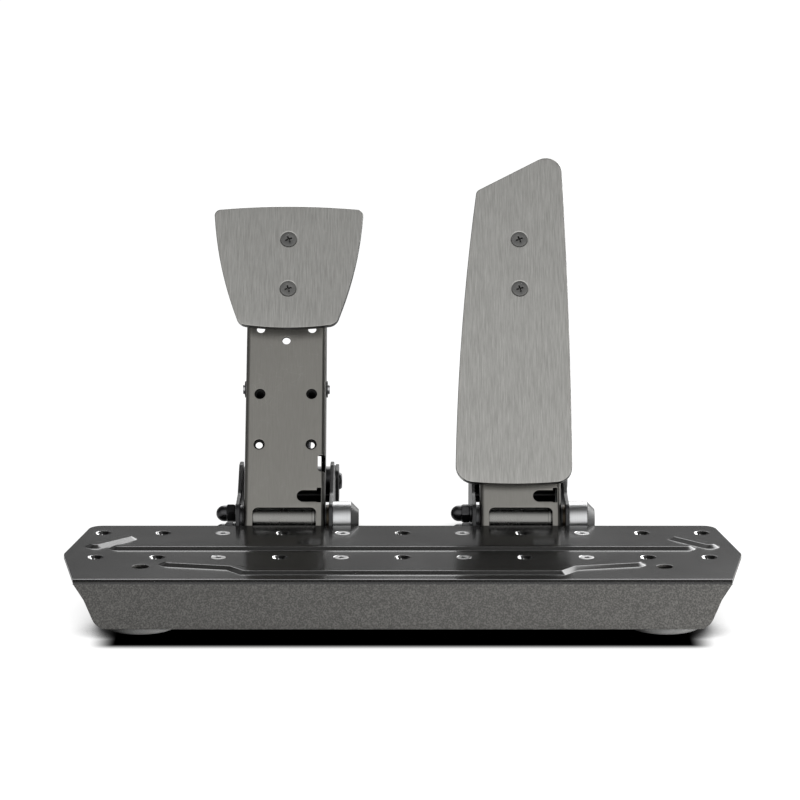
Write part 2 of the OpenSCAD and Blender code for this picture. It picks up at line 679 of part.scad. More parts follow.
// Bracket: a U of folded sheet with screw flanges at the front and bare cheeks at the back
bend_r = bracket_t + 1;
cheek_start = heel_back - 1.4;
module hat_section() polygon(outline([[flange_w / 2, under, 0], [cheek_in, under, bend_r],
    [cheek_in, bracket_low + bracket_t, 1], [-cheek_in, bracket_low + bracket_t, 1],
    [-cheek_in, under, bend_r], [-flange_w / 2, under, 0], [-flange_w / 2, flange_z, 0],
    [-cheek_out, flange_z, 1], [-cheek_out, bracket_low, bend_r], [cheek_out, bracket_low, bend_r],
    [cheek_out, flange_z, 1], [flange_w / 2, flange_z, 0]]));
module u_section() polygon(outline([[cheek_out, hump_z + over, 0], [cheek_in, hump_z + over, 0],
    [cheek_in, bracket_low + bracket_t, 1], [-cheek_in, bracket_low + bracket_t, 1],
    [-cheek_in, hump_z + over, 0], [-cheek_out, hump_z + over, 0],
    [-cheek_out, bracket_low, bend_r], [cheek_out, bracket_low, bend_r]]));
module cheek_side() polygon(outline([[cheek_start, bracket_low, 0],
    [bracket_back, bracket_low, 3], [bracket_back, -2, 6], [bracket_back - 8, tail_z, 7],
    [hump_y + 26, tail_z, 8], [hump_y + 9, hump_z - 1.4, 4], [hump_y - 5, hump_z, 4],
    [hump_y - 30, 11, 10], [heel_back + 6.5, 11, 6], [heel_back + 0.8, under, 0],
    [cheek_start, under, 0]]));
module bracket(side) color("#2b2c2e") pedal(side) difference() {
    union() {
        forward(-bracket_front, cheek_start) hat_section();
        intersection() {
            forward(cheek_start, bracket_back) u_section();
            across(-cheek_out, cheek_out) cheek_side();
        }
    }
    for (x = [-hole_pitch, hole_pitch], y = [0, -row_gap]) translate([x, y, flange_z - over])
        cylinder(h = bracket_t + 2 * over, d = hole_d);
    translate([0, rig_rear_y, bracket_low - over])
        cylinder(h = bracket_t + 2 * over, d = rig_rear_d);
    at_pivot() rod_x(-cheek_out - over, cheek_out + over, spigot_d);
    at_studs() rod_x(-cheek_out - over, -cheek_in + over, stud_d + 2 * clear);
    translate([0, trunnion_y, trunnion_z])
        rod_x(-cheek_out - over, cheek_out + over, bolt_d + 2 * run_fit);
    at_bar_screw() rod_x(-cheek_out - over, cheek_out + over, bar_screw_d + 2 * clear);
    at_ears() rod_x(cheek_in - over, cheek_out + over, m3);
    for (x = [-box_screw_x, box_screw_x]) translate([x - side * pedal_x, box_y, 0])
        for (y = [-box_screw_y, box_screw_y]) translate([0, y, flange_z - over])
            cylinder(h = bracket_t + 2 * over, d = m3);
}
module at_studs() at_pivot() translate([0, 0, -stud_drop]) rotate([stud_tilt, 0, 0])
    for (y = [-stud_pitch / 2, stud_pitch / 2]) translate([0, y, 0]) children();
module at_ears() at_pivot() for (a = ear_turns)
    translate([0, ear_reach * cos(a), ear_reach * sin(a)]) children();

// Left bearing: a flange between the arm and the cheek, with a closed spigot and two studs
module bearing_flanges() color("#6c6f73") both() {
    difference() {
        union() {
            at_pivot() rod_x(-cheek_out, -cheek_in + bearing_t, spigot_d);
            at_studs() rod_x(-cheek_in, -cheek_in + bearing_t, stud_d + 2.8);
            at_pivot() rod_x(-cheek_in, -cheek_in + bearing_t, spigot_d + 5);
        }
        at_pivot() rod_x(-axle_left - 0.2, 0, axle_d + 2 * run_fit);
        at_studs() rod_x(-cheek_out, 0, stud_d);
    }
    at_studs() rod_x(-stud_tip, -cheek_in + bearing_t, stud_d);
}
stud_tip = cheek_out + washer_t + dome_hex_h + 1.5;

// Right bearing bush with a flange inside the cheek
module pivot_bushes() color("#b08d57") both() at_pivot() difference() {
    union() {
        rod_x(cheek_in - bearing_t, cheek_in, spigot_d + 5);
        rod_x(cheek_in, cheek_out, spigot_d);
    }
    rod_x(0, cheek_out + over, axle_d + 2 * run_fit);
}

module dome_nuts() color("#26272a") both() at_studs() translate([-cheek_out - washer_t, 0, 0])
    rotate([0, -90, 0]) difference() {
        union() {
            hex(dome_af, dome_hex_h);
            cylinder(h = dome_h - dome_d / 2, d = dome_d);
            translate([0, 0, dome_h - dome_d / 2]) sphere(d = dome_d);
        }
        translate([0, 0, -over]) cylinder(h = dome_hex_h + 1.7 + over, d = stud_d + 0.04);
    }
module flange_washers() color("#3c3e41") both() at_studs()
    ring_x(-cheek_out - washer_t, -cheek_out, washer_d, stud_d + 2 * clear);

// Plate that stiffens the right cheek round the trunnion, and the trunnion bolt
module lug_plates() color("#303134") both() difference() {
    across(cheek_out, cheek_out + lug_t) translate([trunnion_y, trunnion_z - 2])
        polygon(outline(mirrored([[lug_w / 2, -lug_h / 2, 4], [lug_w / 2, lug_h / 2, 5]])));
    translate([0, trunnion_y, trunnion_z])
        rod_x(cheek_out - over, cheek_out + lug_t + over, bolt_d + 2 * run_fit);
}
bolt_head_d = 10.6;
bolt_head_h = 1.9;
module button_head() rotate_extrude() polygon([[0, 0], [bolt_head_d / 2, 0],
    for (a = [10:10:60]) [bolt_head_d / 2 - 2.4 * (1 - cos(a)), bolt_head_h * sin(a) / sin(60)],
    [0, bolt_head_h]]);
module trunnion_bolts() color("#444649") both() translate([0, trunnion_y, trunnion_z])
    difference() {
        union() {
            rod_x(-cheek_out, cheek_out + lug_t, bolt_d);
            translate([cheek_out + lug_t, 0, 0]) rotate([0, 90, 0]) button_head();
        }
        translate([cheek_out + lug_t, 0, 0]) rotate([0, 90, 0]) hex(4, bolt_head_h + over);
    }

// Rest stop: a bar across the bracket in front of the pivot, with a rubber bumper on it
bumper_top = -arm_toe - rest_gap;
bar_top = bumper_top - bumper_t;
bar_front = arm_front - 0.1;
module stop_bars() color("#4a4c50") both() difference() {
    on_arm() translate([-cheek_in, -bar_front, bar_top - bar_h]) cube([2 * cheek_in, bar_w, bar_h]);
    at_bar_screw() rod_x(-cheek_in - over, -cheek_in + bar_bore, bar_screw_d);
    at_bar_screw() rod_x(cheek_in - bar_bore, cheek_in + over, bar_screw_d);
}
module rest_bumpers() color("#161616") both() on_arm()
    translate([-arm_x, -bar_front + 0.4, bar_top]) cube([arm_w, bar_w - 1.5, bumper_t]);
module at_bar_screw() on_arm() translate([0, -bar_front + bar_w / 2 + 1.2, bar_top - bar_h + 3])
    children();
module stop_screws() color("#4a4c50") both() at_bar_screw() for (s = [-1, 1])
    scale([s, 1, 1]) {
        rod_x(cheek_in - bar_bore + 0.5, cheek_out, bar_screw_d);
        difference() {
            rod_x(cheek_out, cheek_out + bar_head_h, bar_head_d);
            translate([cheek_out + bar_head_h - 1.4, 0, 0]) rotate([0, 90, 0]) hex(2.5, 3);
        }
    }

// Angle sensor on the right cheek: housing, board, bevelled cap and two screws
jack_turn = -55;
jack_x = sensor_x + 4.4;
jack_block = 8.4;
jack_seat = sensor_d / 2 + 1.4;
module at_jack() at_pivot() rotate([jack_turn, 0, 0]) translate([jack_x, jack_seat, 0]) children();
module sensor_housings() color("#c9cbcc") both() difference() {
    union() {
        at_pivot() rotate([180, 0, 0]) rod_x(sensor_x, sensor_x + sensor_len, sensor_d);
        for (a = ear_turns) at_pivot() rotate([a, 0, 0]) across(sensor_x, sensor_x + ear_t)
            polygon(outline([[9, -ear_r, 0], [ear_reach + ear_r, -ear_r, ear_r * 0.98],
                [ear_reach + ear_r, ear_r, ear_r * 0.98], [9, ear_r, 0]]));
        at_jack() translate([-jack_block / 2, -3, -jack_block / 2])
            cube([jack_block, 3, jack_block]);
    }
    at_pivot() rod_x(sensor_x - over, sensor_x + sensor_len, sensor_bore);
    at_pivot() rod_x(ledge_x, sensor_x + sensor_len + over, ledge_d);
    at_ears() rod_x(sensor_x - over, sensor_x + ear_t + over, m3 + 2 * clear);
    at_jack() rod_y(-7, over, 3.6);
}
module sensor_caps() color("#303234") both() at_pivot() {
    cap_x = sensor_x + sensor_len;
    rod_x(ledge_x + board_t + 0.2, cap_x, ledge_d - 0.1);
    translate([cap_x, 0, 0]) rotate([0, 90, 0])
        cylinder(h = cap_len, d1 = sensor_d, d2 = sensor_d - 2 * cap_len);
}
module sensor_boards() color("#1f5a34") both() {
    at_pivot() rod_x(ledge_x, ledge_x + board_t, ledge_d - 0.1);
    at_pivot() translate([ledge_x - 0.6, -2, -2]) cube([0.6, 4, 4]);
    at_jack() difference() {
        rod_y(0, 5, 7.6);
        rod_y(1, 5 + over, 3.6);
    }
}
module sensor_screws() color("#6c6f73") both() at_ears() {
    rod_x(cheek_in + 0.2, sensor_x + ear_t, m3);
    difference() {
        rod_x(sensor_x + ear_t, sensor_x + ear_t + 2, 5.4);
        translate([sensor_x + ear_t + 0.8, 0, 0]) rotate([0, 90, 0]) hex(2, 2);
    }
}

// Pedal arm: a folded channel, seen in its own frame with z along the arm and -y to the driver
module arm_section() polygon(outline([[-arm_x, arm_back + over, 0], [-arm_x, -arm_front, arm_bend_r],
    [arm_x, -arm_front, arm_bend_r], [arm_x, arm_back + over, 0],
    [arm_x - arm_t, arm_back + over, 0], [arm_x - arm_t, arm_t - arm_front, arm_bend_r - arm_t],
    [arm_t - arm_x, arm_t - arm_front, arm_bend_r - arm_t], [arm_t - arm_x, arm_back + over, 0]]));
module arm_side() polygon(outline([[-arm_front - over, -arm_toe, 0], [8, -arm_toe, 6],
    [arm_back - 3, 8, 20], [arm_back, pin_up - 30, 30], [arm_back, pin_up + 6, 30],
    [2, arm_top, 8], [-arm_front - over, arm_top, 0]]));
mount_x = arm_x - arm_hole_in;
module arm(side, tint) color(tint) pedal(side) on_arm() difference() {
    intersection() {
        translate([0, 0, -arm_toe]) linear_extrude(arm_top + arm_toe) arm_section();
        across(-arm_x, arm_x) arm_side();
    }
    for (x = [-mount_x, mount_x], z = [arm_row_1, arm_row_2]) {
        face_hole(x, z, arm_bore_d);
        translate([x, 0, z]) rod_y(-arm_front - over, -arm_front + arm_rim_h, arm_rim_d);
    }
    for (x = [-mount_x, mount_x]) face_hole(x, arm_row_3, arm_hole_d);
    for (x = [-mount_x, mount_x], z = [mount_row_1, mount_row_2])
        face_hole(x, z, heel_screw_d + 2 * clear);
    face_hole(0, arm_row_mid, arm_hole_d);
    forward(-arm_front - over, 0) polygon(outline([[-window_w / 2, -arm_toe - over, 0],
        [window_w / 2, -arm_toe - over, 0], [window_w / 2, window_top, 3],
        [-window_w / 2, window_top, 3]]));
    forward(-arm_front - over, -arm_front + arm_t + 0.1) polygon(outline([
        [slot_x, slot_low, slot_h / 2.05], [arm_x - arm_t, slot_low, 0],
        [arm_x - arm_t, slot_low + slot_h, 0], [slot_x, slot_low + slot_h, slot_h / 2.05]]));
    forward(-arm_front - over, arm_t - arm_front + 3) polygon([[arm_x - 4.8, slot_low - 0.4],
        [arm_x - 2.4, slot_low - 0.4], [arm_x - 2.4, slot_low + slot_h + 1.6],
        [arm_x - 4.8, slot_low + slot_h + 1.6]]);
    translate([arm_x, -arm_front, notch_mid]) rotate([0, 0, 45])
        translate([-notch_x, -notch_x * 2, 0]) rotate([-90, 0, 0]) linear_extrude(notch_x * 4)
            polygon(outline([[0, -notch_h / 2, notch_x / 2], [notch_x * 2, -notch_h / 2, 0],
                [notch_x * 2, notch_h / 2, 0], [0, notch_h / 2, notch_x / 2]]));
    rod_x(-arm_x - over, arm_x + over, axle_d + 2 * run_fit);
    translate([0, pin_back, pin_up]) rod_x(-arm_x - over, arm_x + over, pin_d + 2 * run_fit);
}
module face_hole(x, z, d) translate([x, 0, z]) rod_y(-arm_front - over, -arm_front + arm_t + over, d);

// Sleeve between the arm's flanges, with a collar at its right end
module sleeve(side) color("#5d5f62") pedal(side) at_pivot() difference() {
    union() {
        rod_x(arm_t - arm_x, arm_x - arm_t, sleeve_d);
        rod_x(arm_x - 7.6, arm_x - 6, sleeve_d + 0.7);
    }
    rod_x(-arm_x, arm_x, axle_d + 2 * run_fit);
}
module axle(side) color("#8c8f93") pedal(side) at_pivot() difference() {
    rod_x(-axle_left, axle_right, axle_d);
    rod_x(axle_right - magnet_t, axle_right + over, magnet_d);
}
module magnet(side) color("#b9bcc0") pedal(side) at_pivot()
    rod_x(axle_right - magnet_t, axle_right, magnet_d);
module thrust_washers(side) color("#e6e2d6") pedal(side) at_pivot() for (s = [-1, 1])
    scale([s, 1, 1]) ring_x(arm_x + face_gap, cheek_in - bearing_t - face_gap, spigot_d + 4.8,
        axle_d + 2 * run_fit);

// Cross pin through the arm's flanges, the spacers beside the rod eye and the spring clips
module cross_pin(side) color("#9a9da1") pedal(side) at_pin() rod_x(-pin_half, pin_half, pin_d);
module pin_spacers(side) color("#222222") pedal(side) at_pin() for (s = [-1, 1])
    scale([s, 1, 1]) ring_x(eye_w / 2 + 0.2, arm_x - arm_t - 0.05, spacer_d, pin_d + 2 * run_fit);
clip_t = 0.9;
module clips(side) color("#303134") pedal(side) {
    at_pin() for (s = [-1, 1]) scale([s, 1, 1])
        ring_x(arm_x + 0.1, arm_x + 0.1 + clip_t, pin_d + 4, pin_d);
    at_pivot() ring_x(cheek_out + 0.3, cheek_out + 0.3 + clip_t, axle_d + 3.6, axle_d);
}

// Strut: a guide tube on a trunnion barrel, a rod with an eye, a preload nut and a spring
module guide_tube(side) color("#77797c") pedal(side) on_strut() difference() {
    union() {
        rod_x(0.2 - cheek_in, cheek_in - 0.2, barrel_d);
        translate([0.2 - cheek_in, -tail_t / 2, -tail_reach])
            cube([2 * cheek_in - 0.4, tail_t, tail_reach]);
        cylinder(h = tube_top, d = tube_d);
        translate([0, 0, seat_z - seat_t]) cylinder(h = seat_t, d = seat_d);
    }
    rod_x(-cheek_in, cheek_in, bolt_d + 2 * run_fit);
    translate([0, 0, bolt_d / 2 + 1.2]) cylinder(h = tube_top, d = rod_d + 2 * run_fit);
}
module stop_ring(side, height) color("#c23b2a") pedal(side) on_strut() translate([0, 0, tube_top])
    difference() {
        cylinder(h = height, d = tube_d + 2);
        translate([0, 0, -over]) cylinder(h = height + 2 * over, d = rod_d + 0.6);
    }
module rod(side) color("#a9acaf") pedal(side) on_strut() difference() {
    union() {
        translate([0, 0, rod_end]) cylinder(h = strut_len - rod_end, d = rod_d);
        translate([0, 0, strut_len]) rod_x(-eye_w / 2, eye_w / 2, eye_d);
    }
    translate([0, 0, strut_len]) rod_x(-eye_w, eye_w, pin_d + 2 * eye_play);
}
module preload_nut(side) color("#3b3d40") pedal(side) on_strut() translate([0, 0, nut_z])
    difference() {
        union() {
            cylinder(h = 3, d = seat_d);
            cylinder(h = nut_h, d = seat_d - 7);
        }
        translate([0, 0, -over]) cylinder(h = nut_h + 2 * over, d = rod_d);
        for (i = [0:5]) rotate([0, 0, i * 60]) translate([seat_d / 2 - 3.5, 0, 3.01])
            cylinder(h = nut_h, d = 3);
    }

// A spring: one unbroken tube along a helix whose end curls are closed
ring_count = 8;
ring_sides = 6;
function coil_z(turn, curls, wire, height) = let (
    closed = wire + closed_gap, open = (height - wire - 2 * closed) / (curls - 2))
    wire / 2 + (turn < 1 ? turn * closed : turn > curls - 1 ? height - wire - (curls - turn) * closed
        : closed + (turn - 1) * open);
function coil_line(d, curls, wire, height) = [for (i = [0:curls * ring_count]) let (
    turn = i / ring_count) [d / 2 * cos(360 * turn), d / 2 * sin(360 * turn),
        coil_z(turn, curls, wire, height)]];
function coil_gap(line, wire) = min([for (i = [0:len(line) - 1]) for (j = [i + ring_count - 2:
    min(i + ring_count + 2, len(line) - 1)]) norm(line[i] - line[j])]) - wire;
module coil(line, wire) {
    k = len(line);
    across_wire = [for (i = [0:k - 1]) let (t = unit(line[min(i + 1, k - 1)] - line[max(i - 1, 0)]),
        out = unit([line[i].x, line[i].y, 0]), up = cross(t, out))
        [for (j = [0:ring_sides - 1]) let (a = 360 * (j + 0.5) / ring_sides)
            line[i] + wire / 2 * (cos(a) * out + sin(a) * up)]];
    polyhedron(points = [for (r = across_wire) each r], faces = concat(
        [[for (j = [0:ring_sides - 1]) j]],
        [[for (j = [ring_sides - 1:-1:0]) (k - 1) * ring_sides + j]],
        [for (i = [0:k - 2]) each [for (j = [0:ring_sides - 1]) let (
            a = i * ring_sides + j, b = i * ring_sides + (j + 1) % ring_sides)
            each [[a, a + ring_sides, b], [b, a + ring_sides, b + ring_sides]]]]));
}
spring_h = nut_z - seat_z - 2 * spring_gap;
brake_line = coil_line(brake_coil_d, brake_curls, brake_wire, spring_h);
throttle_line = coil_line(throttle_coil_d, throttle_curls, throttle_wire, spring_h);
echo(brake_spring_least_gap_mm = coil_gap(brake_line, brake_wire));
echo(throttle_spring_least_gap_mm = coil_gap(throttle_line, throttle_wire));
module spring(side, line, wire, tint) color(tint) pedal(side) on_strut()
    translate([0, 0, seat_z + spring_gap]) coil(line, wire);

// Pad mount: a wedge between the arm's face and the back of the pad
pad_turn = arm_lean - pad_lean;
mount_bore = 5.5;                                // depth of the threaded holes
function pad_back_at(z) = pad_out - pad_t / cos(pad_turn) + (z - pad_up) * tan(pad_turn);
module pad_mount(side) color("#4e5053") pedal(side) difference() {
    on_arm() across(-mount_w / 2, mount_w / 2) polygon([[-arm_front, mount_low],
        [-arm_front, mount_high], [-pad_back_at(mount_high), mount_high],
        [-pad_back_at(mount_low), mount_low]]);
    on_arm() for (x = [-mount_x, mount_x], z = [mount_row_1, mount_row_2]) translate([x, 0, z])
        rod_y(-arm_front - mount_bore, -arm_front + over, heel_screw_d);
    on_pad() for (z = [0, pad_screw_gap]) translate([0, 0, z])
        rod_y(0, pad_t + mount_bore, heel_screw_d);
}
module mount_bolts(side) color("#6c6f73") pedal(side) on_arm()
    for (x = [-mount_x, mount_x], z = [mount_row_1, mount_row_2]) translate([x, 0, z]) {
        rod_y(0.3 - arm_front - mount_bore, arm_t - arm_front, heel_screw_d);
        difference() {
            rod_y(arm_t - arm_front, arm_t - arm_front + 3, 8.6);
            translate([0, arm_t - arm_front + 1, 0]) rotate([-90, 0, 0]) hex(3, 3);
        }
    }

// Pads: flat aluminium plates, drawn from the lower screw with z up along the pad
brake_rows = [[-brake_pad_low_w / 2, -brake_pad_down, 7, 1.6],
    [brake_pad_low_w / 2, -brake_pad_down, 7, 2.4], [brake_pad_top_w / 2, brake_pad_up, 4, 1.9],
    [-brake_pad_top_w / 2, brake_pad_up, 4, 2.4]];
throttle_rows = [[-throttle_pad_left, -throttle_pad_down, 11, 1],
    [throttle_pad_right, -throttle_pad_down, 10, 1.1],
    [throttle_pad_top_right, throttle_pad_up + throttle_pad_rise, 9.5, 0],
    [-throttle_pad_top_left, throttle_pad_up, 4, 2.3]];
module pad(side, rows) color("#a3a3a0") pedal(side) on_pad() difference() {
    translate([0, pad_t, 0]) rotate([90, 0, 0]) linear_extrude(pad_t) polygon(outline(rows, 8));
    for (z = [0, pad_screw_gap]) translate([0, 0, z]) rotate([90, 0, 0])
        countersink(heel_screw_d + 2 * clear, pad_head_d + head_fit, pad_t);
}
module pad_screws(side) color("#5a5c5e") pedal(side) on_pad()
    for (z = [0, pad_screw_gap]) translate([0, 0, z]) rotate([90, 0, 0]) difference() {
        flush_screw(heel_screw_d, pad_head_d, pad_t + mount_bore - 0.3);
        for (a = [0, 90]) rotate([0, 0, a]) translate([-2.4, -0.45, -2]) cube([4.8, 0.9, 3]);
    }

heel_plate();
heel_screws();
heel_nuts();
foot_posts();
front_feet();
rear_feet();
control_case();
control_lid();
control_board();
control_screws();
bracket(brake);  // brake_bracket
bracket(throttle);  // throttle_bracket
bearing_flanges();
pivot_bushes();
dome_nuts();
flange_washers();
lug_plates();
trunnion_bolts();
stop_bars();
rest_bumpers();
stop_screws();
sensor_housings();
sensor_caps();
sensor_boards();
sensor_screws();
arm(brake, "#6e6c68");  // brake_arm
sleeve(brake);  // brake_sleeve
axle(brake);  // brake_axle
magnet(brake);  // brake_magnet
thrust_washers(brake);  // brake_thrust_washers
cross_pin(brake);  // brake_cross_pin
pin_spacers(brake);  // brake_pin_spacers
clips(brake);  // brake_clips
pad_mount(brake);  // brake_pad_mount
mount_bolts(brake);  // brake_mount_bolts
pad(brake, brake_rows);  // brake_pad
pad_screws(brake);  // brake_pad_screws
arm(throttle, "#6e6c68");  // throttle_arm
sleeve(throttle);  // throttle_sleeve
axle(throttle);  // throttle_axle
magnet(throttle);  // throttle_magnet
thrust_washers(throttle);  // throttle_thrust_washers
cross_pin(throttle);  // throttle_cross_pin
pin_spacers(throttle);  // throttle_pin_spacers
clips(throttle);  // throttle_clips
pad_mount(throttle);  // throttle_pad_mount
mount_bolts(throttle);  // throttle_mount_bolts
pad(throttle, throttle_rows);  // throttle_pad
pad_screws(throttle);  // throttle_pad_screws
guide_tube(brake);  // brake_guide_tube
stop_ring(brake, brake_stop_h);  // brake_stop_ring
rod(brake);  // brake_rod
preload_nut(brake);  // brake_preload_nut
spring(brake, brake_line, brake_wire, "#b3262a");  // brake_spring
guide_tube(throttle);  // throttle_guide_tube
stop_ring(throttle, throttle_stop_h);  // throttle_stop_ring
rod(throttle);  // throttle_rod
preload_nut(throttle);  // throttle_preload_nut
spring(throttle, throttle_line, throttle_wire, "#8d9093");  // throttle_spring
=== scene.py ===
"""Looks of a pedal set for racing simulators.

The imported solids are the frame. This file gives them rolled edges, finishes, real fasteners and
wound springs, and sets the stage. Sizes are in metres, and the driver's side is -Y.
"""

import json
import math
from functools import partial

import bmesh
import bpy
from bpy.props import FloatProperty, FloatVectorProperty, IntProperty, PointerProperty
from mathutils import Matrix, Vector
from mathutils.bvhtree import BVHTree

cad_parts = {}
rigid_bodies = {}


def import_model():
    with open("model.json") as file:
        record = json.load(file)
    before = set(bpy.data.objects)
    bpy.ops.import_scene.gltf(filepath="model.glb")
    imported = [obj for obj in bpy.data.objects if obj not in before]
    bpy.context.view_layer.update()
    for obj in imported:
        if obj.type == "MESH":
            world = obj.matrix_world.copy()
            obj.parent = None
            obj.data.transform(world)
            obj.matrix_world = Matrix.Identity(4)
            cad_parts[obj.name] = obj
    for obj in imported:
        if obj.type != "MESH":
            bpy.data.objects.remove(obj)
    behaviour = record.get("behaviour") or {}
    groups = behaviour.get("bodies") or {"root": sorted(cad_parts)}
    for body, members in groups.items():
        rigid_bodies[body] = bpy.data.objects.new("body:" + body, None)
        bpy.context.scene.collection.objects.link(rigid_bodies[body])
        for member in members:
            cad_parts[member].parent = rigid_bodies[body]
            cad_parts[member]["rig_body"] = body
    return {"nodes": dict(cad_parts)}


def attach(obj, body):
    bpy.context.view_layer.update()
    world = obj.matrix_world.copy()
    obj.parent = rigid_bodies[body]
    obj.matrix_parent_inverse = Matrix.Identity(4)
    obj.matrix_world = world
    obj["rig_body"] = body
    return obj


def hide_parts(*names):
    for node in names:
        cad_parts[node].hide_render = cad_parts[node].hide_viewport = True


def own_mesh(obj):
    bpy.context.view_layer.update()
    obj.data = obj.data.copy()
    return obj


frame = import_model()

bl_info = {
    "name": "Racing pedal set looks",
    "version": (1, 0, 0),
    "blender": (4, 5, 0),
    "location": "3D View > Sidebar > Pedal set",
    "description": "Finishes, fasteners, springs and stage for a pedal set on a folded heel plate",
    "category": "Object",
}

SIDES = {"brake": -1, "throttle": 1}

# Places of the frame, in metres
PEDAL_X = 0.070
ROW_Y = -0.0263
TREAD_Z = 0.0342
HOLE_PITCH = 0.035
ROW_GAP = 0.055
PIVOT = Vector((0, 0.0080, 0.0333))
ARM_LEAN = math.radians(35)
PAD_LEAN = math.radians(33)
TRUNNION = Vector((0, 0.1087, 0.0326))
CROSS_PIN = Vector((0, 0.057123, 0.102059))
STRUT_TILT = math.atan2(TRUNNION.y - CROSS_PIN.y, CROSS_PIN.z - TRUNNION.z)
SPRING_SEAT = 0.0123
SPRING_HEIGHT = 0.0534
CHEEK_OUT = 0.0286
SCREW_COLUMNS = (-0.105, -0.035, 0.035, 0.105)
SINK_RADIUS = 0.0047
SINK_DEPTH = 0.0021
HEEL_NUT_DROP = 0.0047

# Places on an arm from its pivot: X across, Z along it, and the insides and bolts behind its front
FLANK_X = 0.0205
ARM_COLUMNS = (-0.0155, 0.0155)
ARM_HOLES = (0.0438, 0.0764)
ARM_HOLE_RADIUS = 0.0033
ARM_INSIDE_Y = -0.0110
MOUNT_BOLT_Y = -0.0091
MOUNT_BOLTS = (0.147, 0.167)
PAD_SCREW = (0.0009, -0.022, 0.1411)
PAD_SCREW_PITCH = 0.0323

# Half a recess arm's width against the recess's radius
CROSS_ARM = 0.22

# Points of a solid nearer than this are one point
WELD = 2e-6

# The stage: camera, lamp, the brightest band, and where the floor has a painted shadow under the
# plate
CAMERA_X = -0.0015
LAMP_PLACE = Vector((1.15, -1.05, 0.12))
LAMP_AIM = Vector((0, 0, 0.05))
BRIGHTEST = 4.0
UNDER_SIDE = (0.160, 0.176)
UNDER_FRONT = (-0.1520, -0.1420)
UNDER_BACK = (0.0, 0.06)


def turn(degrees):
    return Matrix.Rotation(math.radians(degrees), 4, "X")


def at_pedal(side):
    """The pedal's own frame: its pivot, upright."""
    return Matrix.Translation((SIDES[side] * PEDAL_X, PIVOT.y, PIVOT.z))


def on_arm(side):
    """Z along the arm, -Y to the driver."""
    return at_pedal(side) @ Matrix.Rotation(-ARM_LEAN, 4, "X")


def on_pad(side):
    """The front face of the pad at its lower screw."""
    return (on_arm(side) @ Matrix.Translation(PAD_SCREW)
            @ Matrix.Rotation(ARM_LEAN - PAD_LEAN, 4, "X"))


def on_strut(side):
    """The trunnion, Z towards the cross pin."""
    return (Matrix.Translation((SIDES[side] * PEDAL_X, TRUNNION.y, TRUNNION.z))
            @ Matrix.Rotation(STRUT_TILT, 4, "X"))


# Settings

def metres(name, description, default, low=0.0, high=10.0):
    return FloatProperty(name=name, description=description, default=default, min=low, max=high,
                         unit="LENGTH", precision=5)


def number(name, description, default, low, high, **more):
    return FloatProperty(name=name, description=description, default=default, min=low, max=high,
                         **more)


def tint(name, description, default):
    return FloatVectorProperty(name=name, description=description, default=default, min=0, max=1,
                               subtype="COLOR", size=3)


class StageSettings(bpy.types.PropertyGroup):
    """Camera, lamp, room and floor."""

    camera_height: metres("Camera height", "Height of the camera above the floor", 0.5613)
    camera_distance: metres(
        "Camera distance", "Distance of the camera in front of the middle", 2.0616)
    camera_pitch: FloatProperty(
        name="Camera pitch", description="Downward tilt of the camera",
        default=math.radians(12.4), subtype="ANGLE")
    focal_length: number(
        "Focal length", "Lens in millimetres on a 36 mm sensor", 161.6, 20, 400)
    room_light: number("Room light", "Even light from all round", 0.22, 0, 2)
    horizon: number(
        "Horizon", "How bright the far end of the room shows in the tread", 0.26, 0, 2)
    strip: number(
        "Strip", "Brightness of the strip lamp at the back, seen in edges", 3.3, 0, 8)
    front_sky: number("Front sky", "How bright the upper front shows in the pads", 1.25, 0, 4)
    front_power: number(
        "Front lamp", "Power of the low lamp in front, at the right", 66, 0, 400, unit="POWER")
    # The contact shadow is painted into the floor's glow by ambient occlusion
    contact_reach: metres(
        "Contact shadow", "Reach of the soft shadow on the floor", 0.036, 0.001, 0.5)


class SheetSettings(bpy.types.PropertyGroup):
    """Folded sheet parts."""

    edge: metres("Edge radius", "Rolled edge of the sheet parts", 0.00035, 0, 0.002)
    plate_colour: tint("Heel plate", "Colour of the heel plate's coat", (0.034, 0.033, 0.031))
    plate_speck: tint("Heel plate specks", "Lighter grains in the coat", (0.084, 0.082, 0.077))
    # The tread colour is painted shade, darker than the coat: the heel plate's up-facing faces
    # take it
    tread_shade_colour: tint("Tread", "Colour of the coat where shoes polish it", (0.006, 0.006, 0.006))
    grain_size: metres("Grain size", "Size of a grain of the coat", 0.0009, 0.0001, 0.01)
    arm_colour: tint("Arms", "Colour of the arms", (0.30, 0.292, 0.27))
    bracket_colour: tint("Brackets", "Colour of the brackets' coat", (0.0075, 0.0075, 0.008))


class PadSettings(bpy.types.PropertyGroup):
    """Brushed pads."""

    colour: tint("Aluminium", "Colour of the brushed aluminium", (0.54, 0.535, 0.513))
    streak_colour: tint("Brush marks", "Colour in the brush marks", (0.36, 0.356, 0.338))
    # The brake pad's tone is painted shade: a darker copy of the same aluminium
    brake_shade: number(
        "Brake pad's tone", "Tone of the brake pad against the throttle pad", 0.88, 0.2, 1.5)
    streak_width: metres("Mark width", "Width of a brush mark", 0.00055, 0.0001, 0.01)
    streak_length: metres("Mark length", "Length of a brush mark", 0.012, 0.001, 0.2)
    edge: metres("Edge radius", "Rounding of a pad's edges", 0.0005, 0, 0.002)


class FastenerSettings(bpy.types.PropertyGroup):
    """Screws and nuts."""

    dome_across_flats: metres(
        "Dome nut", "Width across flats of the dome nuts", 0.010, 0.004, 0.02)
    dome_height: metres("Dome nut height", "Height of a dome nut over all", 0.0114, 0.004, 0.02)
    heel_head: metres(
        "Heel screw head", "Head diameter of the heel plate's screws", 0.0085, 0.004, 0.012)
    pad_head: metres("Pad screw head", "Head diameter of the pad screws", 0.0096, 0.004, 0.012)
    twist_seed: IntProperty(
        name="Twist seed", description="Seed of the screws' turn about their own axis", default=7)


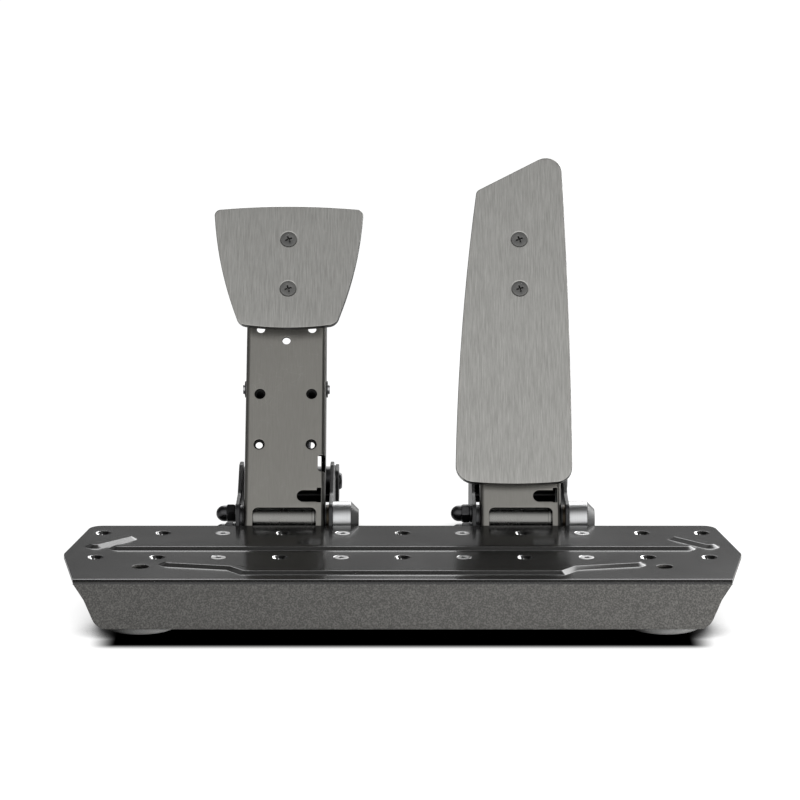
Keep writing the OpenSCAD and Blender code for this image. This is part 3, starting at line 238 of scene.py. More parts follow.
class SpringSettings(bpy.types.PropertyGroup):
    """Return springs."""

    brake_wire: metres("Brake wire", "Wire diameter of the brake spring", 0.0042, 0.001, 0.01)
    brake_coil: metres("Brake coil", "Mean diameter of the brake spring", 0.0238, 0.01, 0.04)
    brake_curls: number("Brake curls", "Curls of the brake spring", 6.5, 3, 30)
    throttle_wire: metres(
        "Throttle wire", "Wire diameter of the throttle spring", 0.0026, 0.001, 0.01)
    throttle_coil: metres(
        "Throttle coil", "Mean diameter of the throttle spring", 0.0204, 0.01, 0.04)
    throttle_curls: number("Throttle curls", "Curls of the throttle spring", 8.5, 3, 30)
    closed_gap: metres(
        "Closed gap", "Gap beside the closed curls at the ends", 0.0007, 0.0001, 0.003)


# Shader groups

def group(kind, name, inputs, outputs):
    """An empty node tree: rows of (label, socket, perhaps a default), then (label, socket)."""
    tree = bpy.data.node_groups.new(name, kind)
    for label, socket, *default in inputs:
        s = tree.interface.new_socket(label, in_out="INPUT", socket_type="NodeSocket" + socket)
        if default:
            s.default_value = default[0]
    for label, socket in outputs:
        tree.interface.new_socket(label, in_out="OUTPUT", socket_type="NodeSocket" + socket)
    given, wanted = tree.nodes.new("NodeGroupInput"), tree.nodes.new("NodeGroupOutput")
    return tree, given.outputs, wanted.inputs


def node(tree, kind, inputs=None, **settings):
    """A node with its settings, and its inputs given as values or as sockets to link."""
    n = tree.nodes.new(kind)
    for key, value in settings.items():
        setattr(n, key, value)
    for key, value in (inputs or {}).items():
        if isinstance(value, bpy.types.NodeSocket):
            tree.links.new(value, n.inputs[key])
        else:
            n.inputs[key].default_value = value
    return n


def maths(tree, operation, a, b=0.0):
    return node(tree, "ShaderNodeMath", {0: a, 1: b}, operation=operation).outputs[0]


def ranged(tree, value, low=0.0, high=1.0, before=0.0, after=1.0, way="LINEAR"):
    """A value carried from low and high over to before and after, and held outside them."""
    return node(tree, "ShaderNodeMapRange", {
        "Value": value, "From Min": low, "From Max": high, "To Min": before, "To Max": after},
        interpolation_type=way).outputs["Result"]


def noise(tree, vector, scale, detail, roughness=0.5, distortion=0.0):
    return node(tree, "ShaderNodeTexNoise", {
        "Vector": vector, "Scale": scale, "Detail": detail, "Roughness": roughness,
        "Distortion": distortion}).outputs


def grain_effect():
    """Grains of a textured coat: a height and a mask of the lighter grains."""
    tree, i, o = group("ShaderNodeTree", "coat grain", [
        ("Vector", "Vector"), ("Grains per metre", "Float", 1000.0),
        ("Light share", "Float", 0.5)], [("Height", "Float"), ("Specks", "Float")])
    calc = partial(maths, tree)
    fine = noise(tree, i["Vector"], i["Grains per metre"], 3.0, 0.65)["Fac"]
    cells = node(tree, "ShaderNodeTexVoronoi", {
        "Vector": i["Vector"], "Scale": i["Grains per metre"], "Randomness": 1.0})
    mixed = calc("ADD", fine, calc("MULTIPLY", cells.outputs["Distance"], 0.35))
    tree.links.new(mixed, o["Height"])
    low = calc("SUBTRACT", 0.86, calc("MULTIPLY", i["Light share"], 0.5))
    high = calc("ADD", low, 0.34)
    tree.links.new(ranged(tree, mixed, low, high, way="SMOOTHSTEP"), o["Specks"])
    return tree


def brush_effect():
    """Fine marks along Z: a mask of single marks and a broad one."""
    tree, i, o = group("ShaderNodeTree", "brush marks", [
        ("Vector", "Vector"), ("Marks per metre", "Float", 1200.0),
        ("Stretch", "Float", 25.0)], [("Marks", "Float"), ("Bands", "Float")])
    calc = partial(maths, tree)
    x, y, z = node(tree, "ShaderNodeSeparateXYZ", {0: i["Vector"]}).outputs
    across, depth, along = (calc("MULTIPLY", part, i["Marks per metre"]) for part in (x, y, z))
    place = node(tree, "ShaderNodeCombineXYZ", {
        0: across, 1: depth, 2: calc("DIVIDE", along, i["Stretch"])}).outputs[0]
    fine = noise(tree, place, 1.0, 4.0, 0.7)["Fac"]
    wide = noise(tree, place, 0.16, 2.0)["Fac"]
    tree.links.new(ranged(tree, fine, 0.34, 0.68), o["Marks"])
    tree.links.new(ranged(tree, wide, 0.35, 0.65), o["Bands"])
    return tree


def handling_effect():
    """Smudges and fine scratches from use."""
    tree, i, o = group("ShaderNodeTree", "handling marks", [
        ("Vector", "Vector"), ("Smudges per metre", "Float", 25.0),
        ("Scratches per metre", "Float", 160.0)], [("Smudges", "Float"), ("Scratches", "Float")])
    smudge = noise(tree, i["Vector"], i["Smudges per metre"], 3.0, 0.6, 0.6)["Fac"]
    tree.links.new(ranged(tree, smudge, 0.3, 0.7), o["Smudges"])
    bent = noise(tree, i["Vector"], i["Smudges per metre"], 1.0)["Color"]
    moved = node(tree, "ShaderNodeVectorMath", {0: bent, 1: (0.03, 0.03, 0.03)},
                 operation="MULTIPLY").outputs[0]
    place = node(tree, "ShaderNodeVectorMath", {0: i["Vector"], 1: moved},
                 operation="ADD").outputs[0]
    lines = node(tree, "ShaderNodeTexVoronoi", {
        "Vector": place, "Scale": i["Scratches per metre"]}, feature="DISTANCE_TO_EDGE")
    thin = ranged(tree, lines.outputs["Distance"], 0.0, 0.02, 1.0, 0.0)
    rare = ranged(tree, smudge, 0.55, 0.7)
    tree.links.new(maths(tree, "MULTIPLY", thin, rare), o["Scratches"])
    return tree


def turning_effect():
    """Fine rings about X, as a lathe leaves them."""
    tree, i, o = group("ShaderNodeTree", "lathe rings", [
        ("Vector", "Vector"), ("Rings per metre", "Float", 2500.0)], [("Rings", "Float")])
    x = node(tree, "ShaderNodeSeparateXYZ", {0: i["Vector"]}).outputs["X"]
    place = node(tree, "ShaderNodeCombineXYZ", {
        0: maths(tree, "MULTIPLY", x, i["Rings per metre"])}).outputs[0]
    tree.links.new(noise(tree, place, 1.0, 2.0, 0.6)["Fac"], o["Rings"])
    return tree


EFFECTS = {}
FINISHES = {}


class Finish:
    """A material in the making: object coordinates, a surface shader and its layers."""

    def __init__(self, name, lean=0.0, **constants):
        self.material = bpy.data.materials.new(name)
        self.material.use_nodes = True
        self.tree = self.material.node_tree
        self.surface = self.tree.nodes["Principled BSDF"]
        place = node(self.tree, "ShaderNodeTexCoord")
        leaned = node(self.tree, "ShaderNodeMapping", {
            "Vector": place.outputs["Object"], "Rotation": (lean, 0.0, 0.0)})
        self.place = leaned.outputs["Vector"]
        for key, value in constants.items():
            self.surface.inputs[key.replace("_", " ")].default_value = value
        FINISHES[name] = self.material

    def effect(self, name, inputs=None):
        return node(self.tree, "ShaderNodeGroup", {"Vector": self.place, **(inputs or {})},
                    node_tree=EFFECTS[name]).outputs

    def grain(self, per_metre, light_share):
        return self.effect("grain", {"Grains per metre": per_metre, "Light share": light_share})

    def handling(self, per_metre):
        return self.effect("handling", {"Smudges per metre": per_metre})

    def between(self, mask, a, b):
        """Colour a where the mask is 0 and b where it is 1."""
        a, b = (x if isinstance(x, bpy.types.NodeSocket) else (*x, 1.0) for x in (a, b))
        return node(self.tree, "ShaderNodeMix", {0: mask, 6: a, 7: b},
                    data_type="RGBA").outputs[2]

    def mask(self, name):
        return node(self.tree, "ShaderNodeAttribute", attribute_name=name).outputs["Fac"]

    def put(self, name, socket):
        self.tree.links.new(socket, self.surface.inputs[name])

    def colour(self, mask, a, b):
        self.put("Base Color", self.between(mask, a, b))

    def roughness(self, mask, low, high):
        self.put("Roughness", ranged(self.tree, mask, before=low, after=high))

    def relief(self, height, distance, strength=0.5):
        self.put("Normal", node(self.tree, "ShaderNodeBump", {
            "Height": height, "Distance": distance, "Strength": strength}).outputs["Normal"])


def make_finishes(sheet, pad):
    """Every material of the set."""
    EFFECTS.update({"grain": grain_effect(), "brush": brush_effect(),
                    "handling": handling_effect(), "lathe": turning_effect()})

    # Powder coat of the heel plate, smoother on the tread, whose up-facing faces are painted
    # darker as painted shade
    # Bright bare metal is painted on the lit side of each countersink, as a painted highlight
    f = Finish("plate_coat")
    g = f.grain(1.0 / sheet.grain_size, 0.62)
    h = f.handling(14.0)
    bare, tread = f.mask("bare"), f.mask("tread")
    dark = [0.9 * x for x in sheet.plate_colour]
    coat = f.between(g["Specks"], f.between(h["Smudges"], dark, sheet.plate_colour),
                     sheet.plate_speck)
    # Painted shade: the up-facing faces take the darker tread colour
    coat = f.between(ranged(f.tree, tread, before=0.0, after=0.8), coat, sheet.tread_shade_colour)
    # Painted highlight in the countersinks
    f.colour(bare, coat, (0.72, 0.72, 0.72))
    f.put("Metallic", bare)
    f.put("Roughness", maths(f.tree, "ADD", ranged(f.tree, tread, before=0.36, after=0.12),
                             ranged(f.tree, h["Smudges"], before=0.0, after=0.04)))
    skirt = ranged(f.tree, tread, before=1.0, after=0.08)
    f.relief(maths(f.tree, "MULTIPLY", g["Height"], skirt), 0.00006)

    # Satin coat of the arms, with painted shade inside and in the holes, less on the flanks
    f = Finish("arm_coat", lean=ARM_LEAN, Metallic=0.9)
    g = f.grain(2600.0, 0.45)
    h = f.handling(22.0)
    b = f.effect("brush", {"Marks per metre": 1500.0, "Stretch": 14.0})
    lower, marked, scratched = ([k * x for x in sheet.arm_colour] for k in (0.90, 0.7, 1.2))
    face = f.between(h["Scratches"], f.between(h["Smudges"], lower, sheet.arm_colour), scratched)
    face = f.between(ranged(f.tree, b["Marks"], before=0.0, after=0.35), face, marked)
    # Painted shade where the dark mask is set
    f.colour(f.mask("dark"), face, (0.010, 0.010, 0.010))
    f.roughness(h["Smudges"], 0.36, 0.44)
    f.relief(g["Height"], 0.00002)

    # Black powder coat of the brackets
    f = Finish("bracket_coat", Specular_IOR_Level=0.45)
    g = f.grain(1600.0, 0.4)
    f.colour(g["Specks"], sheet.bracket_colour, [1.9 * x for x in sheet.bracket_colour])
    f.roughness(f.handling(20.0)["Smudges"], 0.34, 0.46)
    f.relief(g["Height"], 0.00004)

    # Aluminium brushed along the pads, the brake pad's copy painted darker as painted shade
    for name, share in (("brake_aluminium", pad.brake_shade), ("throttle_aluminium", 1.0)):
        f = Finish(name, lean=PAD_LEAN, Metallic=1.0, Anisotropic=0.35)
        b = f.effect("brush", {"Marks per metre": 1.0 / pad.streak_width,
                               "Stretch": pad.streak_length / pad.streak_width})
        bright = [share * x for x in pad.colour]
        face = f.between(b["Marks"], [share * x for x in pad.streak_colour],
                         f.between(b["Bands"], [0.96 * x for x in bright], bright))
        # Painted shade on the pads' edge walls
        f.colour(f.mask("dark"), face, (0.015, 0.015, 0.015))
        f.roughness(f.handling(12.0)["Smudges"], 0.30, 0.38)
        f.relief(b["Marks"], 0.00003)

    # Dark moulded caps and cases
    for name, tone, rough in (("cap_plastic", 0.022, 0.32), ("case_plastic", 0.016, 0.5)):
        f = Finish(name)
        g = f.grain(3000.0, 0.4)
        f.colour(f.handling(40.0)["Smudges"], [tone] * 3, [1.5 * tone] * 3)
        f.roughness(g["Specks"], rough, rough + 0.1)
        f.relief(g["Height"], 0.00003, 0.4)

    # Turned metals with rings: housings, then ground, grey and screw steel
    for name, low, high, rings, smudges, rough, span, height in (
            ("turned_aluminium", (0.50, 0.505, 0.51), (0.72, 0.725, 0.73), 2500.0, 60.0,
             0.32, 0.1, 0.00002),
            ("ground_steel", (0.42, 0.42, 0.43), (0.56, 0.56, 0.57), 1800.0, 70.0,
             0.2, 0.12, 0.00001),
            ("grey_steel", (0.19, 0.188, 0.18), (0.27, 0.268, 0.255), 1800.0, 70.0,
             0.2, 0.12, 0.00001),
            ("screw_steel", (0.30, 0.30, 0.30), (0.42, 0.42, 0.42), 1800.0, 70.0,
             0.3, 0.12, 0.00001)):
        f = Finish(name, Metallic=1.0)
        t = f.effect("lathe", {"Rings per metre": rings})
        f.colour(t["Rings"], low, high)
        f.roughness(f.handling(smudges)["Smudges"], rough, rough + span)
        f.relief(t["Rings"], height, 0.25)

    # Smooth dark metals, which only handling changes
    for name, metallic, smudges, low, high, smooth, rough in (
            ("black_oxide", 0.85, 90.0, (0.045, 0.045, 0.047), (0.085, 0.085, 0.088), 0.24, 0.38),
            ("pad_screw_steel", 0.9, 90.0, (0.12, 0.12, 0.118), (0.19, 0.188, 0.182), 0.3, 0.42),
            ("spring_steel", 0.7, 60.0, (0.05, 0.05, 0.054), (0.085, 0.085, 0.09), 0.26, 0.4)):
        f = Finish(name, Metallic=metallic)
        h = f.handling(smudges)
        f.colour(h["Smudges"], low, high)
        f.roughness(h["Smudges"], smooth, rough)

    # Bronze painted nearly black as painted shade in the pivot gap, rubbers and the boards
    for name, metallic, grains, share, low, high, smooth, rough in (
            ("sintered_bronze", 1.0, 3500.0, 0.5, (0.035, 0.028, 0.020), (0.07, 0.055, 0.038),
             0.34, 0.5),
            ("circuit_board", 0.0, 300.0, 0.35, (0.008, 0.07, 0.022), (0.02, 0.13, 0.045),
             0.25, 0.4)):
        f = Finish(name, Metallic=metallic)
        g = f.grain(grains, share)
        f.colour(g["Specks"], low, high)
        f.roughness(g["Specks"], smooth, rough)
    for name, low, high, rough, size in (
            ("rubber", (0.016, 0.016, 0.016), (0.03, 0.03, 0.03), 0.62, 1800.0),
            ("foot_rubber", (0.09, 0.09, 0.088), (0.15, 0.15, 0.148), 0.5, 1800.0),
            ("elastomer", (0.030, 0.028, 0.026), (0.048, 0.045, 0.042), 0.4, 900.0)):
        f = Finish(name)
        g = f.grain(size, 0.5)
        f.colour(g["Specks"], low, high)
        f.roughness(g["Height"], rough, rough + 0.12)
        f.relief(g["Height"], 0.00004)


# Making pieces

def piece(name, mesh, finish):
    obj = bpy.data.objects.new(name, mesh)
    bpy.context.scene.collection.objects.link(obj)
    mesh.materials.clear()
    mesh.materials.append(FINISHES[finish])
    return obj


def plain_mesh(obj):
    """The evaluated shape of an object as its own mesh, its modifiers gone."""
    graph = bpy.context.evaluated_depsgraph_get()
    graph.update()
    mesh = bpy.data.meshes.new_from_object(obj.evaluated_get(graph))
    obj.modifiers.clear()
    return mesh


def shade(mesh, angle=32.0):
    mesh.shade_smooth()
    mesh.set_sharp_from_angle(angle=math.radians(angle))


def rolled(cad, finish, edge, segments=2, angle=30.0):
    """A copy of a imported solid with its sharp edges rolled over; it stands for the solid."""
    source = frame["nodes"][cad]
    bm = bmesh.new()
    bm.from_mesh(source.data)
    bmesh.ops.remove_doubles(bm, verts=bm.verts, dist=WELD)
    surface = BVHTree.FromBMesh(bm)
    mesh = bpy.data.meshes.new(cad + "_rolled")
    bm.to_mesh(mesh)
    bm.free()
    if "custom_normal" in mesh.attributes:
        mesh.attributes.remove(mesh.attributes["custom_normal"])
    shade(mesh)
    obj = piece(cad + "_dressed", mesh, finish)
    if edge > 0:
        roll = obj.modifiers.new("rolled edge", "BEVEL")
        roll.width = edge
        roll.segments = segments
        roll.limit_method = "ANGLE"
        roll.angle_limit = math.radians(angle)
        roll.use_clamp_overlap = False
        roll.loop_slide = False
        obj.data = plain_mesh(obj)
        # A bevel can throw a point out at a sharp corner; it goes back on the solid
        for vertex in obj.data.vertices:
            near, _, _, gap = surface.find_nearest(vertex.co)
            if gap > edge:
                vertex.co = near
        shade(obj.data, 40.0)
    obj.modifiers.new("flat faces stay flat", "WEIGHTED_NORMAL").keep_sharp = True
    obj.data = plain_mesh(obj)
    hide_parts(cad)
    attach(obj, source["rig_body"])
    return obj


def mark(obj, name, share):
    """Write a share from 0 to 1 on every face, from its centre and normal, as an attribute."""
    values = [float(share(p.center, p.normal)) for p in obj.data.polygons]
    obj.data.attributes.new(name, "FLOAT", "FACE").data.foreach_set("value", values)


def ring_radius(r, angle, shape="round", limit=None):
    """Radius of a ring of that shape at an angle."""
    if shape == "hex":
        r = r / math.cos((angle + math.pi / 6) % (math.pi / 3) - math.pi / 6)
    elif shape == "cross":
        off = abs((angle + math.pi / 4) % (math.pi / 2) - math.pi / 4)
        half = CROSS_ARM * r
        r = min(r / math.cos(off), half / max(math.sin(off), 1e-6))
    return min(r, limit) if limit else r


def stacked(name, rings, count=48):
    """A closed solid through rings of (z, radius), then perhaps shape and limit, upwards."""
    bm = bmesh.new()
    loops = []
    for z, r, *rest in rings:
        loop = []
        for k in range(count):
            a = 2 * math.pi * k / count
            q = ring_radius(r, a, *rest)
            loop.append(bm.verts.new((q * math.cos(a), q * math.sin(a), z)))
        loops.append(loop)
    for low, high in zip(loops, loops[1:]):
        for k in range(count):
            j = (k + 1) % count
            bm.faces.new((low[k], low[j], high[j], high[k]))
    bm.faces.new(list(reversed(loops[0])))
    bm.faces.new(loops[-1])
    bmesh.ops.recalc_face_normals(bm, faces=bm.faces)
    mesh = bpy.data.meshes.new(name)
    bm.to_mesh(mesh)
    bm.free()
    shade(mesh, 28.0)
    return mesh


def put_out(tree, shape, i, o):
    """The shape as a real mesh with the finish set, at the tree's output."""
    real = node(tree, "GeometryNodeRealizeInstances", {0: shape})
    painted = node(tree, "GeometryNodeSetMaterial", {
        "Geometry": real.outputs[0], "Material": i["Finish"]})
    tree.links.new(painted.outputs[0], o[0])


def fastener_tree():
    """Geometry nodes: one fastener on every point, each turned by chance about its own axis."""
    tree, i, o = group("GeometryNodeTree", "fasteners in place", [
        ("Geometry", "Geometry"), ("Fastener", "Object"), ("Aim", "Vector"), ("Twist", "Float"),
        ("Seed", "Int"), ("Finish", "Material")], [("Geometry", "Geometry")])
    info = node(tree, "GeometryNodeObjectInfo", {"Object": i["Fastener"]})
    aim = node(tree, "FunctionNodeEulerToRotation", {0: i["Aim"]})
    spread = node(tree, "GeometryNodeInstanceOnPoints", {
        "Points": i["Geometry"], "Instance": info.outputs["Geometry"],
        "Rotation": aim.outputs[0]})
    chance = node(tree, "FunctionNodeRandomValue", {3: i["Twist"], "Seed": i["Seed"]},
                  data_type="FLOAT")
    twist = node(tree, "ShaderNodeCombineXYZ", {2: chance.outputs[1]})
    turned = node(tree, "GeometryNodeRotateInstances", {
        "Instances": spread.outputs["Instances"], "Rotation": twist.outputs[0],
        "Local Space": True})
    put_out(tree, turned.outputs[0], i, o)
    return tree


def set_inputs(modifier, values):
    """Inputs of a geometry nodes modifier, by their identifiers."""
    for item in modifier.node_group.interface.items_tree:
        if item.item_type == "SOCKET" and item.in_out == "INPUT" and item.name in values:
            modifier[item.identifier] = values[item.name]


def set_fasteners(name, mesh, places, aim, finish, body, cads, twist, seed):
    """One piece with a fastener at each place, pointing along aim, on one body."""
    tree = bpy.data.node_groups.get("fasteners in place") or fastener_tree()
    pattern = piece(name + "_pattern", mesh, finish)
    points = bpy.data.meshes.new(name + "_places")
    points.from_pydata([tuple(p) for p in places], [], [])
    holder = piece(name + "_holder", points, finish)
    grow = holder.modifiers.new("fasteners", "NODES")
    grow.node_group = tree
    set_inputs(grow, {"Fastener": pattern, "Aim": tuple(aim), "Twist": twist, "Seed": seed,
                      "Finish": FINISHES[finish]})
    holder.update_tag()
    grown = plain_mesh(holder)
    obj = piece(name, grown, finish)
    for scratch in (holder, pattern):
        bpy.data.objects.remove(scratch)
    if not grown.polygons:
        raise RuntimeError(name + " came out empty")
    shade(grown, 28.0)
    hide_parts(*cads)
    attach(obj, body)


def spring_tree():
    """Geometry nodes: a wire wound along a helix whose end curls are closed."""
    tree, i, o = group("GeometryNodeTree", "wound spring", [
        ("Coil radius", "Float"), ("Wire radius", "Float"), ("Curls", "Float"),
        ("Height", "Float"), ("Closed gap", "Float"), ("Steps per curl", "Int"),
        ("Finish", "Material")], [("Geometry", "Geometry")])
    calc = partial(maths, tree)
    curls, steps, radius = i["Curls"], i["Steps per curl"], i["Wire radius"]
    wire = calc("MULTIPLY", radius, 2.0)
    closed = calc("ADD", wire, i["Closed gap"])
    free = calc("SUBTRACT", calc("SUBTRACT", i["Height"], wire), calc("MULTIPLY", closed, 2.0))
    open_curls = calc("SUBTRACT", curls, 2.0)
    rise = calc("DIVIDE", free, open_curls)
    turns = calc("DIVIDE", node(tree, "GeometryNodeInputIndex").outputs[0], steps)
    first = calc("MULTIPLY", calc("MINIMUM", turns, 1.0), closed)
    after_first = calc("MAXIMUM", calc("SUBTRACT", turns, 1.0), 0.0)
    middle = calc("MULTIPLY", calc("MINIMUM", after_first, open_curls), rise)
    in_last = calc("MAXIMUM", calc("SUBTRACT", turns, calc("SUBTRACT", curls, 1.0)), 0.0)
    last = calc("MULTIPLY", in_last, closed)
    up = calc("ADD", calc("ADD", first, middle), calc("ADD", last, radius))
    angle = calc("MULTIPLY", turns, 2 * math.pi)
    place = node(tree, "ShaderNodeCombineXYZ", {
        0: calc("MULTIPLY", calc("COSINE", angle), i["Coil radius"]),
        1: calc("MULTIPLY", calc("SINE", angle), i["Coil radius"]), 2: up})
    count = calc("ADD", calc("MULTIPLY", curls, steps), 1.0)
    line = node(tree, "GeometryNodeMeshLine", {"Count": count})
    wound = node(tree, "GeometryNodeSetPosition", {
        "Geometry": line.outputs[0], "Position": place.outputs[0]})
    path = node(tree, "GeometryNodeMeshToCurve", {"Mesh": wound.outputs[0]})
    ring = node(tree, "GeometryNodeCurvePrimitiveCircle", {
        "Resolution": 14, "Radius": radius})
    tube = node(tree, "GeometryNodeCurveToMesh", {
        "Curve": path.outputs[0], "Profile Curve": ring.outputs[0], "Fill Caps": True})
    put_out(tree, tube.outputs[0], i, o)
    return tree


# Operators

class PEDALSET_OT_stage(bpy.types.Operator):
    """Camera at the photograph's place, lamp, room light and floor"""

    bl_idname = "pedalset.stage"
    bl_label = "Stage"

    def execute(self, context):
        s = context.scene.pedal_stage
        scene = context.scene
        scene.view_settings.view_transform = "Standard"
        lens = bpy.data.cameras.new("camera")
        lens.lens = s.focal_length
        lens.sensor_width = 36.0
        lens.clip_start, lens.clip_end = 0.05, 50.0
        camera = bpy.data.objects.new("camera", lens)
        camera.location = (CAMERA_X, -s.camera_distance, s.camera_height)
        camera.rotation_euler = (math.pi / 2 - s.camera_pitch, 0.0, 0.0)
        scene.collection.objects.link(camera)
        scene.camera = camera
        self.lamp(scene, s.front_power)
        self.room(scene, s)
        self.floor(scene, s)
        return {"FINISHED"}

    def lamp(self, scene, power):
        """A low round lamp in front, at the right, that no reflection shows."""
        light = bpy.data.lights.new("front", "AREA")
        light.shape = "DISK"
        light.size = 0.5
        light.energy = power
        obj = bpy.data.objects.new("front", light)
        obj.location = LAMP_PLACE
        obj.rotation_euler = (LAMP_AIM - LAMP_PLACE).to_track_quat("-Z", "Y").to_euler()
        obj.visible_glossy = False
        scene.collection.objects.link(obj)

    def room(self, scene, s):
        """White for the camera; in reflections a room with a dark ceiling and bright bands."""
        world = bpy.data.worlds.new("room")
        world.use_nodes = True
        scene.world = world
        tree = world.node_tree
        tree.nodes.clear()
        calc, step = partial(maths, tree), partial(ranged, tree, way="SMOOTHSTEP")
        way = node(tree, "ShaderNodeTexCoord").outputs["Generated"]
        x, y, z = node(tree, "ShaderNodeSeparateXYZ", {0: way}).outputs
        over = calc("DIVIDE", calc("ARCTAN2", z, y), math.pi)
        bands = node(tree, "ShaderNodeFloatCurve", {"Value": over, "Factor": 1.0})
        self.bands(bands.mapping, s)
        # The back is dim at the left and bright at the right, and the sides fall off in front
        back = calc("MULTIPLY", step(x, -0.24, -0.07, 0.12, 1.0), step(x, 0.06, 0.26, 1.0, 1.9))
        sides = calc("MULTIPLY", step(x, -0.85, -0.50, 0.6, 1.0), step(x, 0.50, 0.85, 1.0, 0.08))
        front = step(over, 0.30, 0.37, 0.0, 1.0)
        shared = calc("ADD", calc("MULTIPLY", sides, front),
                      calc("MULTIPLY", back, calc("SUBTRACT", 1.0, front)))
        shine = calc("MULTIPLY", calc("MULTIPLY", bands.outputs[0], BRIGHTEST), shared)
        seen = node(tree, "ShaderNodeLightPath").outputs
        bare = calc("MAXIMUM", seen["Is Camera Ray"], seen["Is Transmission Ray"])
        glossy = calc("MULTIPLY", seen["Is Glossy Ray"], calc("SUBTRACT", 1.0, bare))
        even = calc("MULTIPLY", s.room_light, sides)
        other = calc("SUBTRACT", 1.0, calc("MAXIMUM", bare, glossy))
        level = calc("ADD", bare, calc("ADD", calc("MULTIPLY", shine, glossy),
                                       calc("MULTIPLY", even, other)))
        glow = node(tree, "ShaderNodeBackground", {
            "Color": (1.0, 1.0, 1.0, 1.0), "Strength": level})
        out = node(tree, "ShaderNodeOutputWorld")
        tree.links.new(glow.outputs[0], out.inputs[0])

    def bands(self, mapping, s):
        """Brightness by angle over the room, from the back horizon at 0 to the front one."""
        rows = [(0, s.horizon), (18.5, s.horizon), (23, s.strip), (48, s.strip), (54, 1.0),
                (60, 0.25), (66, 0.06), (108, 0.06), (116, 0.36 * s.front_sky),
                (126, 0.72 * s.front_sky), (142, s.front_sky), (180, s.front_sky)]
        mapping.clip_max_y = BRIGHTEST
        curve = mapping.curves[0]
        points = [(angle / 180.0, value / BRIGHTEST) for angle, value in rows]
        curve.points[0].location = points[0]
        curve.points[-1].location = points[-1]
        for point in points[1:-1]:
            curve.points.new(*point)
        for point in curve.points:
            point.handle_type = "VECTOR"
        mapping.update()

    def floor(self, scene, s):
        """White paper with a painted soft shadow from ambient occlusion and a painted dark patch
        under the plate.
        """
        mesh = bpy.data.meshes.new("floor")
        mesh.from_pydata([(-9, -6, 0), (9, -6, 0), (9, 12, 0), (-9, 12, 0)], [], [(0, 1, 2, 3)])
        paper = bpy.data.materials.new("floor_paper")
        paper.use_nodes = True
        tree = paper.node_tree
        tree.nodes.clear()
        calc, step = partial(maths, tree), partial(ranged, tree, way="SMOOTHSTEP")
        seen = node(tree, "ShaderNodeLightPath").outputs
        # Painted soft shadow: ambient occlusion dims the floor's glow near the object
        close = node(tree, "ShaderNodeAmbientOcclusion", {"Distance": s.contact_reach},
                     samples=24)
        soft = step(close.outputs["AO"], 0.36, 0.92, 0.05, 1.0)
        place = node(tree, "ShaderNodeTexCoord").outputs["Object"]
        x, y, _ = node(tree, "ShaderNodeSeparateXYZ", {0: place}).outputs
        # Painted shadow: a dark patch under the plate, set by place on the floor
        across = step(calc("ABSOLUTE", x), *UNDER_SIDE, 1.0, 0.0)
        near = step(y, *UNDER_FRONT, 0.0, 1.0)
        far = step(y, *UNDER_BACK, 1.0, 0.0)
        under = calc("MULTIPLY", across, calc("MULTIPLY", near, far))
        white = calc("MULTIPLY", soft, calc("SUBTRACT", 1.0, under))
        matt = node(tree, "ShaderNodeBsdfDiffuse", {"Color": (0.6, 0.6, 0.6, 1.0)})
        grey = node(tree, "ShaderNodeCombineXYZ", {
            k: calc("MULTIPLY", white, 0.3) for k in range(3)})
        shown = node(tree, "ShaderNodeBsdfDiffuse", {"Color": grey.outputs[0]})
        glow = node(tree, "ShaderNodeEmission", {"Strength": white})
        lit = node(tree, "ShaderNodeAddShader", {0: shown.outputs[0], 1: glow.outputs[0]})
        bright = node(tree, "ShaderNodeEmission", {"Strength": calc("MULTIPLY", white, 0.8)})
        shiny = calc("MAXIMUM", seen["Is Glossy Ray"], seen["Is Transmission Ray"])
        other = node(tree, "ShaderNodeMixShader", {
            0: shiny, 1: matt.outputs[0], 2: bright.outputs[0]})
        both = node(tree, "ShaderNodeMixShader", {
            0: seen["Is Camera Ray"], 1: other.outputs[0], 2: lit.outputs[0]})
        out = node(tree, "ShaderNodeOutputMaterial")
        tree.links.new(both.outputs[0], out.inputs[0])
        mesh.materials.append(paper)
        obj = bpy.data.objects.new("floor", mesh)
        scene.collection.objects.link(obj)


class PEDALSET_OT_finishes(bpy.types.Operator):
    """Shader groups and materials of the whole set"""

    bl_idname = "pedalset.finishes"
    bl_label = "Finishes"

    def execute(self, context):
        make_finishes(context.scene.pedal_sheet, context.scene.pedal_pads)
        return {"FINISHED"}


class PEDALSET_OT_heel_plate(bpy.types.Operator):
    """Folded heel plate with its ribs, posts and rubber feet"""

    bl_idname = "pedalset.heel_plate"
    bl_label = "Heel plate"

    def execute(self, context):
        edge = context.scene.pedal_sheet.edge
        plate = rolled("heel_plate", "plate_coat", edge, angle=16.5)
        # Painted highlight: bright bare metal on the lit side of each countersink
        mark(plate, "bare", self.countersink_glint)
        # Up-facing faces: the painted shade of the tread, and its smoother coat
        mark(plate, "tread", lambda centre, normal: normal.z > 0.35)
        rolled("foot_posts", "grey_steel", 0.0003)
        rolled("front_feet", "foot_rubber", 0.0006)
        rolled("rear_feet", "rubber", 0.0006)
        return {"FINISHED"}

    def countersink_glint(self, centre, normal):
        """Painted highlight: bright bare metal on the lit side of a countersink; the other side
        stays dark.
        """
        column = round(centre.x / HOLE_PITCH) * HOLE_PITCH
        row = min((ROW_Y, ROW_Y - ROW_GAP), key=lambda y: abs(y - centre.y))
        near = math.hypot(centre.x - column, centre.y - row) < SINK_RADIUS
        inside = TREAD_Z - SINK_DEPTH < centre.z < TREAD_Z - 0.00005
        return near and normal.x > 0.2 and inside


